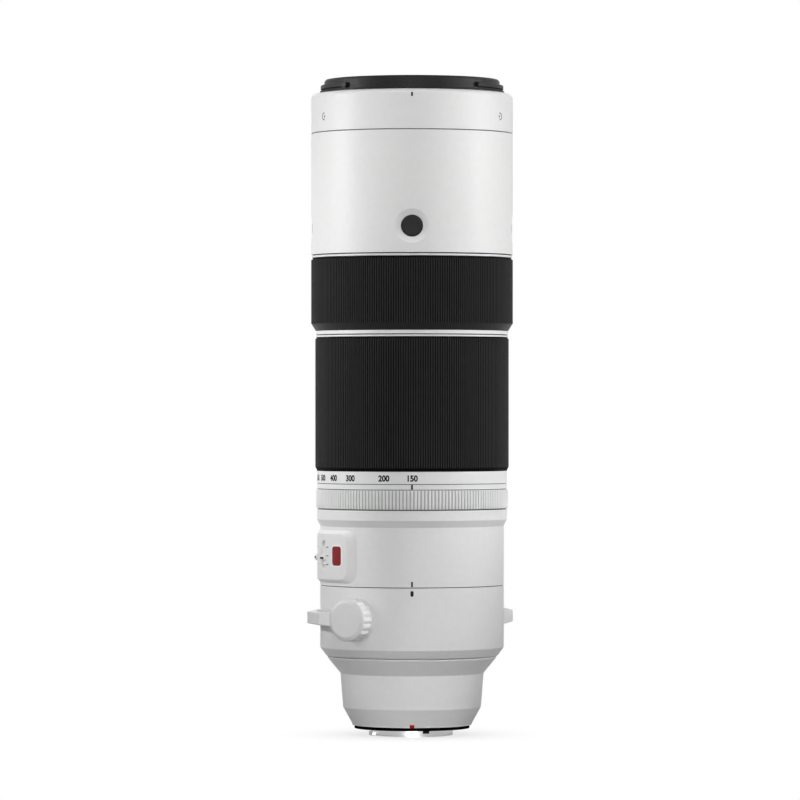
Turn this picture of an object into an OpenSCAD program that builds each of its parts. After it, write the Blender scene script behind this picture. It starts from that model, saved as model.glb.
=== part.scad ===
// A telephoto zoom lens, standing on its bayonet with the front glass up.
// Millimetres. The origin is the centre of the mount's flange face, on the optical axis, and +Z runs to the front.
// The index marks face -Y, the switch panel is on the -X side and the tripod foot on the +Y side.
// An angle phi below is counted from -Y towards -X.

/* [Diameters] */
// Front barrel, front cap and the focus ring over its rubber
front_d = 98; // [96:0.5:104]
// Zoom ring over its rubber
zoom_d = 94; // [93:0.5:98]
// Zoom scale, index ring and rear band
band_d = 92.2; // [91:0.2:93.6]
// Aperture ring over its ribs
aperture_d = 93.1; // [92:0.1:95]
// Main barrel and tripod collar
main_d = 89.2; // [88.6:0.2:91]
// Fixed tube on which the rings turn
tube_d = 86.6; // [85.6:0.2:87]
// Bore of the tripod collar
collar_bore_d = 80; // [79:0.2:81]
// Rear barrel at its top
rear_d = 69.6; // [68:0.4:72]
// Filter thread
filter_d = 82; // [81:0.5:83]

/* [Lengths along the axis] */
// Light seal under the rear barrel
seal_h = 1.2; // [0.8:0.1:2]
// Sloping foot of the rear barrel
rear_foot_h = 9; // [8:0.5:12]
// Straight part of the rear barrel
rear_tube_h = 16.9; // [15:0.1:24]
// Cone of the rear barrel
rear_cone_h = 7.9; // [7:0.1:12]
// Tripod collar
collar_h = 33.5; // [30:0.5:40]
// Main barrel with the switch panel
main_h = 36.2; // [35:0.1:44]
// Aperture ring
aperture_h = 8.4; // [7:0.1:12]
// Index ring
index_h = 2.2; // [1.6:0.1:4]
// Painted zoom scale
scale_h = 5.6; // [5:0.1:9]
// Zoom rubber
zoom_grip_h = 64.1; // [60:0.1:80]
// White lip of the zoom ring above its rubber
zoom_lip = 1; // [0.6:0.1:2]
// Fixed ring between the zoom and focus rings
spacer_h = 2.4; // [2:0.1:5]
// Sloping lower edge of the focus ring
focus_skirt_h = 4; // [3:0.1:6]
// Focus rubber
focus_grip_h = 31.5; // [24:0.1:40]
// Front barrel
front_h = 60; // [52:0.5:70]
// Front cap
cap_h = 18.8; // [17:0.1:24]
// Hood bayonet in front of the cap
hood_h = 6.7; // [6:0.1:9]

/* [Grips] */
// Ribs round the focus rubber
focus_ribs = 260; // [120:10:300]
// Ribs round the zoom rubber
zoom_ribs = 248; // [120:8:300]
// Ribs round the aperture ring
aperture_ribs = 170; // [100:2:200]
// Depth of a rubber rib
rib_depth = 0.45; // [0.3:0.05:0.7]
// Thickness of the rubber sleeves
rubber_t = 1.5; // [1.2:0.1:2]
// Wall of the zoom ring under its rubber
carrier_t = 1.7; // [1.4:0.1:1.9]

/* [Zoom mechanism] */
// Turn of the zoom ring from the shortest to the longest setting
zoom_turn = 80; // [60:2:90]
// Travel of the variator group towards the mount
variator_travel = 50; // [30:1:52]
// Travel of the compensator group towards the front
compensator_travel = 18; // [10:1:20]
// Diameter of a cam pin
cam_pin_d = 3; // [2.4:0.2:3.6]

/* [Focus and stabiliser] */
// Travel of the focusing group
focus_travel = 18; // [10:1:20]
// Travel of the stabiliser each way
ois_travel = 1.2; // [0.6:0.2:1.8]

/* [Iris] */
// Turn of the iris drive ring
iris_turn = 20; // [12:1:20]
// Turn of a blade for each degree of the drive ring
blade_ratio = 1.5; // [1:0.1:1.5]
// Radius of the full opening
iris_open_r = 19.2; // [17:0.2:20]
// Thickness of a blade
blade_t = 0.25; // [0.15:0.05:0.3]

/* [Controls] */
// Focus button
button_d = 10.2; // [9:0.2:11]
// Travel of a focus button
button_travel = 0.6; // [0.3:0.1:0.8]
// Travel of a panel switch each way
switch_travel = 2.6; // [1.5:0.1:2.8]
// Width of a panel switch
switch_w = 5.2; // [4:0.1:6]
// Flutes round the clamp knob
knob_flutes = 18; // [10:1:20]
// Diameter of the clamp knob
knob_d = 20.8; // [18:0.2:24]

/* [Tripod foot] */
// Width of the dovetail rail
foot_w = 38; // [36:0.5:42]
// Length of the dovetail rail
foot_l = 86; // [70:1:96]
// Distance from the optical axis to the underside of the foot
foot_drop = 82; // [76:1:92]
// Small tripod thread
tripod_small_d = 6.35; // [6:0.05:6.5]
// Large tripod thread
tripod_large_d = 9.525; // [9:0.025:10]

/* [Bayonet] */
// Bayonet tabs
bayonet_d = 41.8; // [41:0.1:43]
// Flange disc
flange_d = 53.2; // [52:0.1:53.6]
// Height of the bayonet behind the flange
bayonet_h = 3.4; // [3:0.1:5]

/* [Clearances] */
// Radial gap of a fixed seat
fit_gap = 0.05; // [0.02:0.01:0.1]
// Radial gap of a running fit
run_gap = 0.1; // [0.06:0.01:0.12]
// Gap between the sliding tubes of the zoom mechanism
slide_gap = 0.3; // [0.2:0.05:0.4]
// Axial gap between the grip rings and their neighbours
ring_gap = 0.2; // [0.15:0.05:0.4]
// Visible groove between the painted rings
groove = 0.8; // [0.5:0.1:1.2]

/* [Hidden] */
$fn = 180;

front_r = front_d / 2;
zoom_r = zoom_d / 2;
band_r = band_d / 2;
aperture_r = aperture_d / 2;
main_r = main_d / 2;
rear_r = rear_d / 2;
flange_r = flange_d / 2;
bayonet_r = bayonet_d / 2;

// Least walls from the outside of a ring to what lies in it.
front_wall = 5.4;
zoom_wall = 3.4;
band_wall = 2.5;
main_wall = 1;
collar_wall = 4.3;
filter_wall = 7.7;

// The fixed tube has its own diameter, or what the narrowest ring round it leaves beside its wall.
// So does the collar's bore in the main barrel, and the filter thread in the front cap.
tube_r = min(
  tube_d / 2, front_r - front_wall, zoom_r - zoom_wall,
  aperture_r - band_wall, band_r - band_wall, main_r - main_wall
);
collar_bore_r = min(collar_bore_d / 2, main_r - collar_wall);
filter_r = min(filter_d / 2, front_r - filter_wall);

// Heights of the outside, from the flange to the front.
foot_z = seal_h + rear_foot_h;
cone_z = foot_z + rear_tube_h;
rear_z = cone_z + rear_cone_h;
collar_z = rear_z + 0.3;
collar_top = collar_z + collar_h;
main_z = collar_top + ring_gap;
main_top = main_z + 1 + main_h;
aperture_z = main_top + groove;
aperture_top = aperture_z + aperture_h;
index_z = aperture_top + groove;
index_top = index_z + index_h;
zoom_z = index_top + groove;
scale_top = zoom_z + scale_h;
rubber_top = scale_top + zoom_grip_h;
zoom_top = rubber_top + zoom_lip;
spacer_z = zoom_top + ring_gap;
spacer_top = spacer_z + spacer_h;
focus_z = spacer_top + ring_gap;
skirt_top = focus_z + focus_skirt_h;
focus_top = skirt_top + focus_grip_h;
front_z = focus_top + ring_gap;
front_top = front_z + front_h;
cap_z = front_top + 0.6;
cap_top = cap_z + cap_h;
top_z = cap_top + hood_h;

// Radial stack of the zoom mechanism, from the fixed tube inwards.
tube_in_r = tube_r - 1.7;
cam_out_r = tube_in_r - slide_gap;
cam_in_r = cam_out_r - 1.8;
guide_out_r = cam_in_r - slide_gap;
guide_in_r = guide_out_r - 1.6;
cell_r = guide_in_r - slide_gap;
ring_in_r = tube_r + run_gap;
seat_r = tube_r + fit_gap;
sleeve_r = collar_bore_r - run_gap;
sleeve_in_r = sleeve_r - 1.9;
inner_r = sleeve_in_r - fit_gap;
front_cell_r = filter_r + 2.3;
rod_x = inner_r - 4.95;
magnet_y = inner_r - 6.45;

// Heights of the inside.
shoulder_z = main_z + 3;
ois_z = rear_z;
ois_top = ois_z + 3.5;
iris_z = main_top - 6.2;
iris_top = iris_z + 10.5;
blade_z = iris_z + 2.35;
blade_step = blade_t + 0.15;
drive_z = blade_z + 7 * blade_step + 0.25;
guide_top = zoom_top + 34;
cell_front_z = front_top - 17.4;
pin_r = cam_pin_d / 2;
comp_z = iris_top + 8.5;
vari_z = zoom_top + 16.1;
focus_rest = iris_z - focus_travel - 21.5;
button_z = front_z + 13.8;
button_base = tube_r + 1.1 + button_travel;
collar_mid = collar_z + collar_h / 2 + 1.8;
knob_z = collar_mid;
panel_z = main_z + 15;

// Angles of the controls.
knob_phi = 36;
lug_phi = 72;
panel_phi = 80;
switch_phi_1 = 68;
switch_phi_2 = 91;

module side(phi) {
  rotate([0, 0, -phi]) children();
}

// Puts a feature drawn along +Z on the barrel's side, pointing outwards.
module outward(phi, z) {
  side(phi) translate([0, 0, z]) rotate([90, 0, 0]) children();
}

module tube(r_out, r_in, z0, z1) {
  translate([0, 0, z0])
    difference() {
      cylinder(r = r_out, h = z1 - z0);
      translate([0, 0, -1]) cylinder(r = r_in, h = z1 - z0 + 2);
    }
}

module turned(points) {
  rotate_extrude() polygon(points);
}

// A part of a ring, from phi0 to phi1.
module arc_ring(r_out, r_in, z0, z1, phi0, phi1) {
  rotate([0, 0, -90 - phi1])
    rotate_extrude(angle = phi1 - phi0)
      translate([r_in, z0]) square([r_out - r_in, z1 - z0]);
}

module rounded_rect(w, h, r) {
  square([w - 2 * r, h], center = true);
  square([w, h - 2 * r], center = true);
  for (x = [-1, 1], y = [-1, 1])
    translate([x * (w / 2 - r), y * (h / 2 - r)]) circle(r = r);
}

module stadium(w, l) {
  square([w, l - w], center = true);
  for (y = [-1, 1])
    translate([0, y * (l - w) / 2]) circle(d = w);
}

function ribs(r, depth, count) = [
  for (i = [0 : count - 1])
    for (p = [[-0.25, r], [0.25, r], [0.36, r - depth], [0.64, r - depth]])
      let (a = (i + p[0]) * 360 / count)
        [p[1] * cos(a), p[1] * sin(a)]
];

module ribbed(r, depth, count, r_in, z0, z1) {
  translate([0, 0, z0])
    linear_extrude(height = z1 - z0)
      difference() {
        polygon(ribs(r, depth, count));
        circle(r = r_in);
      }
}

function cap_of(curve, clear) = curve - sqrt(curve * curve - clear * clear);

// A glass element with a flat rim; a positive curve bulges out, a negative one is hollow, 0 is flat.
module element(r, z0, z1, rear_curve, front_curve, rim = 1.4) {
  clear = r - rim;
  difference() {
    union() {
      translate([0, 0, z0]) cylinder(r = r, h = z1 - z0);
      if (front_curve > 0)
        translate([0, 0, z1]) dome(front_curve, clear);
      if (rear_curve > 0)
        translate([0, 0, z0]) mirror([0, 0, 1]) dome(rear_curve, clear);
    }
    if (front_curve < 0)
      translate([0, 0, z1 - front_curve - cap_of(-front_curve, clear)]) sphere(r = -front_curve);
    if (rear_curve < 0)
      translate([0, 0, z0 + rear_curve + cap_of(-rear_curve, clear)]) sphere(r = -rear_curve);
  }
}

module dome(curve, clear) {
  h = cap_of(curve, clear);
  intersection() {
    translate([0, 0, h - curve]) sphere(r = curve);
    translate([0, 0, -0.5]) cylinder(r = clear, h = h + 1);
  }
}

// Black front ring: filter thread inside, hood bayonet lugs outside.
module hood_ring() {
  skirt_r = filter_r + 4.2;
  neck_r = filter_r + 2.4;
  rim_r = filter_r + 1.6;
  lug_r = filter_r + 3.4;
  shelf_z = cap_top - 1.6;
  color([0.08, 0.08, 0.08]) {
    difference() {
      turned([
        [skirt_r, shelf_z - 8], [skirt_r, cap_top + 1.2], [neck_r, cap_top + 1.2], [neck_r, cap_top + 2.1],
        [rim_r, cap_top + 2.1], [rim_r, top_z - 0.9], [rim_r - 0.7, top_z], [filter_r - 0.7, top_z],
        [filter_r - 0.7, shelf_z], [front_cell_r + 0.4, shelf_z], [front_cell_r + 0.4, shelf_z - 8]
      ]);
      translate([0, 0, top_z - 4.4]) cylinder(r = filter_r, h = 6);
    }
    for (turn = [0, 180])
      rotate([0, 0, turn]) {
        arc_ring(lug_r, rim_r - 0.3, cap_top + 1.95, cap_top + 4, 46, 134);
        arc_ring(lug_r - 0.15, rim_r - 0.4, cap_top + 1, cap_top + 2.3, 46.6, 50);
      }
  }
}

// Threaded ring that holds the front glass down.
module front_retainer() {
  z = cap_top - 8.3;
  color([0.07, 0.07, 0.07])
    turned([
      [filter_r - 0.9 - fit_gap, z], [filter_r - 0.9 - fit_gap, z + 3.4],
      [filter_r - 1.6, z + 3.4], [filter_r - 2.4, z + 0.8], [filter_r - 2.4, z]
    ]);
}

// White ring behind the hood bayonet, with a rounded front edge.
module front_cap() {
  bore_r = filter_r + 4.2 + fit_gap;
  color([0.9, 0.9, 0.89])
    turned([
      [front_r, cap_z], [front_r, cap_top - 2.1], [front_r - 0.3, cap_top - 1.4], [front_r - 1, cap_top - 0.7],
      [front_r - 2.4, cap_top], [bore_r, cap_top], [bore_r, cap_z + 3.4], [front_r - 0.75, cap_z + 3.4],
      [front_r - 0.75, cap_z]
    ]);
}

// White front barrel with the four focus buttons' dishes.
module front_barrel() {
  lip_r = front_r - 0.5;
  top_r = front_cell_r + fit_gap;
  color([0.9, 0.9, 0.89])
    difference() {
      turned([
        [seat_r, front_z], [lip_r, front_z], [lip_r, front_z + 1.1],
        [front_r - 1.2, front_z + 1.1], [front_r - 1.2, front_z + 1.6], [front_r, front_z + 1.6],
        [front_r, front_top], [front_r - 0.8, front_top], [front_r - 0.8, front_top + 3],
        [front_r - 2.4, front_top + 3], [front_r - 2.4, front_top], [top_r, front_top],
        [top_r, front_top - 4], [front_r - 2, front_top - 4], [front_r - 2, front_z + 4.6], [seat_r, front_z + 4.6]
      ]);
      for (phi = [0, 90, 180, 270])
        outward(phi, button_z) {
          cylinder(r = button_d / 2 + 0.15, h = front_r + 1);
          translate([0, 0, front_r - 1.4]) cylinder(r1 = button_d / 2 + 0.3, r2 = button_d / 2 + 4.2, h = 1.8);
        }
    }
}

// Cell of the front group, standing on the fixed tube.
module front_cell() {
  rim_r = filter_r - 0.9;
  spigot_r = min(rim_r - 3.6, tube_in_r - 1.7);
  step_z = cell_front_z + 11;
  color([0.12, 0.12, 0.13])
    turned([
      [front_cell_r, cell_front_z], [front_cell_r, cap_top - 1.6], [rim_r, cap_top - 1.6], [rim_r, step_z],
      [rim_r - 2.1, step_z], [rim_r - 2.1, cell_front_z + 1], [spigot_r, cell_front_z + 1],
      [spigot_r, cell_front_z - 7], [tube_in_r - fit_gap, cell_front_z - 7], [tube_in_r - fit_gap, cell_front_z]
    ]);
}

// The three front elements.
module front_elements() {
  r = filter_r - 0.9 - fit_gap;
  step_z = cell_front_z + 11;
  color([0.55, 0.7, 0.75]) {
    element(r, step_z + (cap_top - 8.3 - step_z) * 0.55, cap_top - 8.3, 0, 130, 1.8);
    element(r, step_z, step_z + (cap_top - 8.3 - step_z) * 0.55 - 0.05, 320, 0, 2.6);
    element(r - 2.1, cell_front_z + 1, cell_front_z + 7, -260, -300);
  }
}

// Fixed tube on which the rings turn, with the window for the zoom key.
module frame_tube() {
  color([0.2, 0.2, 0.21])
    difference() {
      tube(tube_r, tube_in_r, shoulder_z, cell_front_z);
      arc_ring(tube_r + 1, tube_in_r - 0.15, scale_top - 5.4, scale_top + 0.4, 176 - zoom_turn, 184);
    }
}

// Carrier of the focus rubber, with its sloping black edge.
module focus_ring() {
  seat = front_r - rubber_t - fit_gap;
  color([0.1, 0.1, 0.1])
    turned([
      [ring_in_r, focus_z], [front_r - 2.2, focus_z], [front_r, skirt_top], [seat, skirt_top],
      [seat, focus_top], [ring_in_r, focus_top]
    ]);
}

module focus_rubber() {
  seat = front_r - rubber_t;
  color([0.13, 0.13, 0.13]) {
    ribbed(front_r, rib_depth, focus_ribs, seat, skirt_top + 0.6, focus_top - 0.8);
    tube(front_r - rib_depth, seat, skirt_top, skirt_top + 0.6);
    tube(front_r - rib_depth - 0.3, seat, focus_top - 0.8, focus_top);
  }
}

// Fixed white ring between the focus and zoom rings.
module spacer_ring() {
  r = zoom_r - 0.3;
  color([0.88, 0.88, 0.87])
    tube(r, seat_r, spacer_z, spacer_top);
}

// Carrier of the zoom rubber with the white scale band, a white lip above the rubber and the hole for the zoom key.
// It runs on the tube at its two ends, and its bore is relieved between them.
module zoom_ring() {
  seat = zoom_r - rubber_t - fit_gap;
  relief_r = seat - carrier_t;
  land = 6;
  color([0.88, 0.88, 0.87])
    difference() {
      turned([
        [ring_in_r, zoom_z], [band_r, zoom_z], [band_r, scale_top], [seat, scale_top],
        [seat, rubber_top], [zoom_r - 0.3, rubber_top], [zoom_r - 0.3, zoom_top],
        [ring_in_r, zoom_top], [ring_in_r, zoom_top - land], [relief_r, zoom_top - land],
        [relief_r, scale_top + land], [ring_in_r, scale_top + land]
      ]);
      outward(180, scale_top - 2.5) cylinder(r = 2.4 + fit_gap, h = ring_in_r + 1.1);
    }
}

module zoom_rubber() {
  seat = zoom_r - rubber_t;
  color([0.13, 0.13, 0.13]) {
    ribbed(zoom_r, rib_depth, zoom_ribs, seat, scale_top + 1.4, rubber_top - 0.6);
    turned([
      [seat, scale_top], [band_r, scale_top], [zoom_r - rib_depth, scale_top + 1.4], [seat, scale_top + 1.4]
    ]);
    tube(zoom_r - rib_depth - 0.2, seat, rubber_top - 0.6, rubber_top);
  }
}

// Fixed ring that carries the index of the zoom scale.
module index_ring() {
  color([0.88, 0.88, 0.87]) {
    tube(band_r, seat_r, index_z, index_top);
    tube(band_r - 0.6, seat_r, index_z - groove + ring_gap / 2, index_top + groove - ring_gap / 2);
  }
}

// Ribbed aperture ring, with a plain rim above and below the ribs.
module aperture_ring() {
  color([0.88, 0.88, 0.87]) {
    ribbed(aperture_r, 0.35, aperture_ribs, ring_in_r, aperture_z + 0.5, aperture_top - 0.5);
    tube(aperture_r - 0.35, ring_in_r, aperture_z, aperture_z + 0.5);
    tube(aperture_r - 0.35, ring_in_r, aperture_top - 0.5, aperture_top);
  }
}

// Main barrel: rear band, panel zone and the sleeve on which the tripod collar turns.
module main_barrel() {
  lip_z = aperture_z - ring_gap / 2;
  color([0.86, 0.86, 0.85])
    turned([
      [sleeve_in_r, rear_z], [sleeve_r, rear_z], [sleeve_r, main_z], [main_r - 0.9, main_z],
      [main_r - 0.9, main_z + 0.8], [main_r, main_z + 0.8], [main_r, main_top - 7.8], [band_r, main_top - 4.9],
      [band_r, main_top], [band_r - 0.6, main_top], [band_r - 0.6, lip_z], [seat_r, lip_z], [seat_r, shoulder_z],
      [sleeve_in_r, shoulder_z]
    ]);
}

module slot_cut(phi) {
  outward(phi, panel_z) linear_extrude(height = main_r + 8) stadium(switch_w + 0.6, switch_w + 4 + 2 * switch_travel + 0.6);
}

// Raised pad with the two sliding switches.
module switch_panel() {
  half = 43.4;
  r0 = main_r + fit_gap;
  r1 = main_r + 1.4;
  low = panel_z - 13;
  high = panel_z + 12.3;
  color([0.87, 0.87, 0.86])
    difference() {
      intersection() {
        side(panel_phi)
          rotate([0, 0, -90 - half - 4])
            rotate_extrude(angle = 2 * half + 8)
              polygon([[r0, low], [r1, low + 1.5], [r1, high - 1.7], [r0, high]]);
        outward(panel_phi, panel_z)
          linear_extrude(height = main_r + 8) rounded_rect(2 * main_r * sin(half), 26.6, 4.6);
      }
      for (s = [-1, 1])
        side(panel_phi + s * half)
          translate([0, -main_r, panel_z])
            rotate([0, 0, -s * 14]) translate([-30, -10, -20]) cube([60, 10, 40]);
      slot_cut(switch_phi_1);
      slot_cut(switch_phi_2);
    }
}

// A sliding switch: plate in the panel's slot with a raised grip.
module slider(phi) {
  color([0.85, 0.85, 0.84]) {
    intersection() {
      tube(main_r + 1.2, main_r + run_gap, panel_z - 12, panel_z + 12);
      outward(phi, panel_z) linear_extrude(height = main_r + 8) stadium(switch_w, switch_w + 4);
    }
    outward(phi, panel_z) translate([0, 0, main_r + 0.8]) linear_extrude(height = 2) stadium(switch_w - 1.8, switch_w + 0.6);
  }
}

module limit_switch() {
  slider(switch_phi_1);
}

module preset_switch() {
  slider(switch_phi_2);
}

// White rear barrel between the tripod collar and the mount.
module rear_barrel() {
  top_r = collar_bore_r + 1;
  foot_r = rear_r - 1.3;
  lip_r = flange_r + 2.4;
  color([0.85, 0.85, 0.84])
    difference() {
      turned([
        [flange_r + fit_gap, seal_h], [lip_r, seal_h], [lip_r, seal_h + 0.5], [foot_r, foot_z], [rear_r, cone_z],
        [top_r, rear_z - 0.3], [top_r, rear_z], [inner_r - 0.8, rear_z], [inner_r - 0.8, rear_z - 2.4],
        [rear_r - 2.2, cone_z - 0.3], [foot_r - 2.2, foot_z + 0.8], [foot_r - 5.3, seal_h + 4.8],
        [bayonet_r + 1.1, seal_h + 4.8], [bayonet_r + 1.1, seal_h + 0.6], [flange_r + fit_gap, seal_h + 0.6]
      ]);
      for (i = [0 : 3])
        rotate([0, 0, 45 + 90 * i]) translate([flange_r - 2.4, 0, 0]) cylinder(r = 1 + fit_gap, h = seal_h + 4.5);
    }
}

// Chromed bayonet: flange disc, spigot and three tabs.
module lens_mount() {
  spigot_r = bayonet_r - 1.1;
  color([0.75, 0.75, 0.76])
    difference() {
      union() {
        tube(flange_r, spigot_r - 1.6, 0, seal_h + 0.6);
        tube(spigot_r, spigot_r - 1.6, -bayonet_h, 0);
        for (i = [0 : 2])
          arc_ring(bayonet_r, spigot_r - 0.5, -bayonet_h, -bayonet_h + 1.5, 120 * i - 52, 120 * i);
      }
      tube(bayonet_r + 0.8, spigot_r, -0.1, 0.3);
      for (i = [0 : 3])
        rotate([0, 0, 45 + 90 * i])
          translate([flange_r - 2.4, 0, 0]) {
            translate([0, 0, -1]) cylinder(r = 1.15, h = seal_h + 3);
            translate([0, 0, -0.05]) cylinder(r1 = 2.05, r2 = 1.1, h = 1);
          }
    }
}

// Rubber light seal round the flange.
module mount_seal() {
  color([0.06, 0.06, 0.06]) tube(flange_r + 1.1, flange_r + fit_gap, -0.15, seal_h);
}

// Four countersunk screws of the mount.
module mount_screws() {
  color([0.6, 0.6, 0.62])
    for (i = [0 : 3])
      rotate([0, 0, 45 + 90 * i])
        translate([flange_r - 2.4, 0, 0])
          difference() {
            union() {
              translate([0, 0, 0.1]) cylinder(r1 = 1.8, r2 = 1, h = 0.85);
              translate([0, 0, 0.6]) cylinder(r = 1, h = seal_h + 3.4);
            }
            for (turn = [0, 90])
              rotate([0, 0, turn]) translate([-1, -0.2, 0]) cube([2, 0.4, 0.6]);
          }
}

// Plastic mask in the throat of the mount.
module rear_baffle() {
  r = bayonet_r - 2.7 - fit_gap;
  color([0.07, 0.07, 0.07])
    difference() {
      turned([
        [0, -1.4], [r, -1.4], [r, seal_h + 4.8], [r - 1.3, seal_h + 4.8], [r - 1.3, -0.6], [0, -0.6]
      ]);
      translate([-13, -9, -3]) cube([26, 18, 4]);
    }
}

// Arc block with the electric contacts, on the mask's rear face.
module contact_block() {
  r = bayonet_r - 2.7 - fit_gap;
  color([0.08, 0.08, 0.08])
    difference() {
      arc_ring(r, r - 4.6, -bayonet_h + 0.6, -1.4, 136, 224);
      for (i = [0 : 9])
        side(180 + (i - 4.5) * 8.4) translate([0, -(r - 2.3), -bayonet_h]) cylinder(r = 0.6 + fit_gap, h = 3);
    }
}

module contact_pins() {
  r = bayonet_r - 2.7 - fit_gap;
  color([0.85, 0.65, 0.25])
    for (i = [0 : 9])
      side(180 + (i - 4.5) * 8.4) translate([0, -(r - 2.3), -bayonet_h + 0.3]) cylinder(r = 0.6, h = bayonet_h - 1.7);
}

// Cell of the rear group, screwed under the stabiliser's base.
module rear_cell() {
  bore_r = bayonet_r - 4.5;
  color([0.1, 0.1, 0.11])
    turned([
      [bore_r - 1.2, seal_h + 4.8], [bore_r + 1.6, seal_h + 4.8], [bore_r + 2.6, seal_h + 6.6], [bore_r + 2.6, rear_z - 2.2],
      [rear_r - 2.8, rear_z - 2.2], [rear_r - 2.8, rear_z], [bore_r, rear_z], [bore_r, seal_h + 7.5], [bore_r - 1.2, seal_h + 7.5]
    ]);
}

module rear_lens() {
  r = bayonet_r - 4.5 - fit_gap;
  color([0.55, 0.7, 0.75]) {
    element(r, seal_h + 7.5, seal_h + 12.5, -70, 60);
    element(r, seal_h + 16.3, seal_h + 22, 90, -110);
  }
}

// Fixed base of the stabiliser, with the two guides of its slider.
module ois_base() {
  color([0.15, 0.15, 0.16]) {
    tube(inner_r, bayonet_r - 3.4, ois_z, ois_top);
    for (s = [-1, 1])
      translate([-15, s * 21.75 - 1.25, ois_top - 0.2]) cube([30, 2.5, 2.6]);
  }
}

// First stage of the stabiliser, moving across; carries the guides of the second.
module ois_slider() {
  z = ois_top + 0.15;
  color([0.3, 0.3, 0.32])
    difference() {
      union() {
        translate([-24, -20.3, z]) cube([48, 40.6, 1.6]);
        for (s = [-1, 1])
          translate([s * 22.25 - 1.75, -14, z + 1.4]) cube([3.5, 28, 2.8]);
      }
      translate([0, 0, z - 1]) cylinder(r = bayonet_r - 3.9 + ois_travel, h = 4);
    }
}

// Second stage of the stabiliser with its lens.
module ois_cell() {
  z = ois_top + 1.9;
  r = bayonet_r - 5.4;
  color([0.18, 0.18, 0.2])
    difference() {
      union() {
        translate([-20.3, -19, z]) cube([40.6, 38, 1.5]);
        translate([0, 0, z]) cylinder(r = r + 2, h = 7);
      }
      translate([0, 0, z + 1.2]) cylinder(r = r + fit_gap, h = 8);
      translate([0, 0, z - 1]) cylinder(r = r - 1.2, h = 4);
    }
}

module ois_lens() {
  z = ois_top + 3.1;
  color([0.55, 0.7, 0.75]) element(bayonet_r - 5.4, z, z + 3.6, -90, 70);
}

// Two steel rods that guide the focusing group.
module focus_rods() {
  color([0.7, 0.7, 0.72])
    for (s = [-1, 1])
      translate([s * rod_x, 0, ois_top]) cylinder(r = 1.5, h = iris_z - ois_top);
}

// Two magnet bars of the linear focus motor.
module focus_magnets() {
  color([0.35, 0.35, 0.38])
    for (s = [-1, 1])
      translate([-4, s * magnet_y - 1.5, ois_top]) cube([8, 3, iris_z - ois_top]);
}

// Focusing cell on its rods.
module focus_cell() {
  r = 16;
  color([0.16, 0.16, 0.18])
    difference() {
      union() {
        translate([0, 0, focus_rest]) cylinder(r = r + 3, h = 8);
        translate([-rod_x, -3.5, focus_rest + 2]) cube([2 * rod_x, 7, 4]);
        translate([-5, -magnet_y + 4.1, focus_rest + 2]) cube([10, 2 * magnet_y - 8.2, 4]);
        for (s = [-1, 1])
          translate([s * rod_x, 0, focus_rest - 2]) cylinder(r = 3.4, h = 12);
      }
      translate([0, 0, focus_rest + 1.4]) cylinder(r = r + fit_gap, h = 10);
      translate([0, 0, focus_rest - 3]) cylinder(r = r - 1.3, h = 14);
      for (s = [-1, 1])
        translate([s * rod_x, 0, focus_rest - 4]) cylinder(r = 1.5 + fit_gap, h = 18);
    }
}

module focus_lens() {
  color([0.55, 0.7, 0.75]) element(16, focus_rest + 1.4, focus_rest + 6, 80, -60);
}

// Two drive coils round the magnet bars.
module focus_coil() {
  color([0.6, 0.32, 0.16])
    for (s = [-1, 1])
      translate([0, s * magnet_y, focus_rest - 1])
        difference() {
          translate([-6.5, -4.1, 0]) cube([13, 8.2, 10]);
          translate([-4.5, -2, -1]) cube([9, 4, 12]);
        }
}

function polar(r, a) = [r * cos(a), r * sin(a)];
function turn(p, a) = [p[0] * cos(a) - p[1] * sin(a), p[0] * sin(a) + p[1] * cos(a)];

// Iris: pivots on a circle outside the opening, drive pins a little behind each pivot.
pivot_r = iris_open_r + 8.3;
pivot_p = [pivot_r, 0];
drive_p = polar(pivot_r, -12);
iris_pin_r = 0.8;
blade_angle = 360 / 7;

// Place of a drive pin, seen from the drive ring, when that ring has turned by a.
function pin_path(a) = turn(pivot_p + turn(drive_p - pivot_p, a * blade_ratio), -a);

// Plate with the blade pivots, and the wall that guides the drive ring.
module iris_housing() {
  wall_r = guide_in_r - 1.2;
  color([0.1, 0.1, 0.11])
    difference() {
      turned([
        [iris_open_r + 0.8, iris_z], [tube_in_r - fit_gap, iris_z], [tube_in_r - fit_gap, iris_top],
        [wall_r, iris_top], [wall_r, drive_z - 0.1], [wall_r - 1.2, drive_z - 0.1], [wall_r - 1.2, iris_z + 2],
        [iris_open_r + 0.8, iris_z + 2]
      ]);
      for (i = [0 : 6])
        rotate([0, 0, i * blade_angle]) translate([pivot_r, 0, iris_z + 0.8]) cylinder(r = iris_pin_r + fit_gap, h = 2);
    }
}

module iris_drive_ring() {
  half = iris_pin_r + 0.3;
  steps = 8;
  path = [for (k = [0 : steps]) pin_path(k * iris_turn / steps)];
  normal = [for (k = [0 : steps])
    let (d = path[min(k + 1, steps)] - path[max(k - 1, 0)])
      [-d[1], d[0]] / norm(d)];
  color([0.45, 0.45, 0.47])
    difference() {
      tube(guide_in_r - 1.2 - run_gap, iris_open_r + 3.2, drive_z, drive_z + 1.2);
      for (i = [0 : 6])
        rotate([0, 0, i * blade_angle])
          translate([0, 0, drive_z - 1])
            linear_extrude(height = 4) {
              polygon(concat(
                [for (k = [0 : steps]) path[k] + half * normal[k]],
                [for (k = [0 : steps]) path[steps - k] - half * normal[steps - k]]
              ));
              translate(path[0]) circle(r = half);
              translate(path[steps]) circle(r = half);
            }
    }
}

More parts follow.
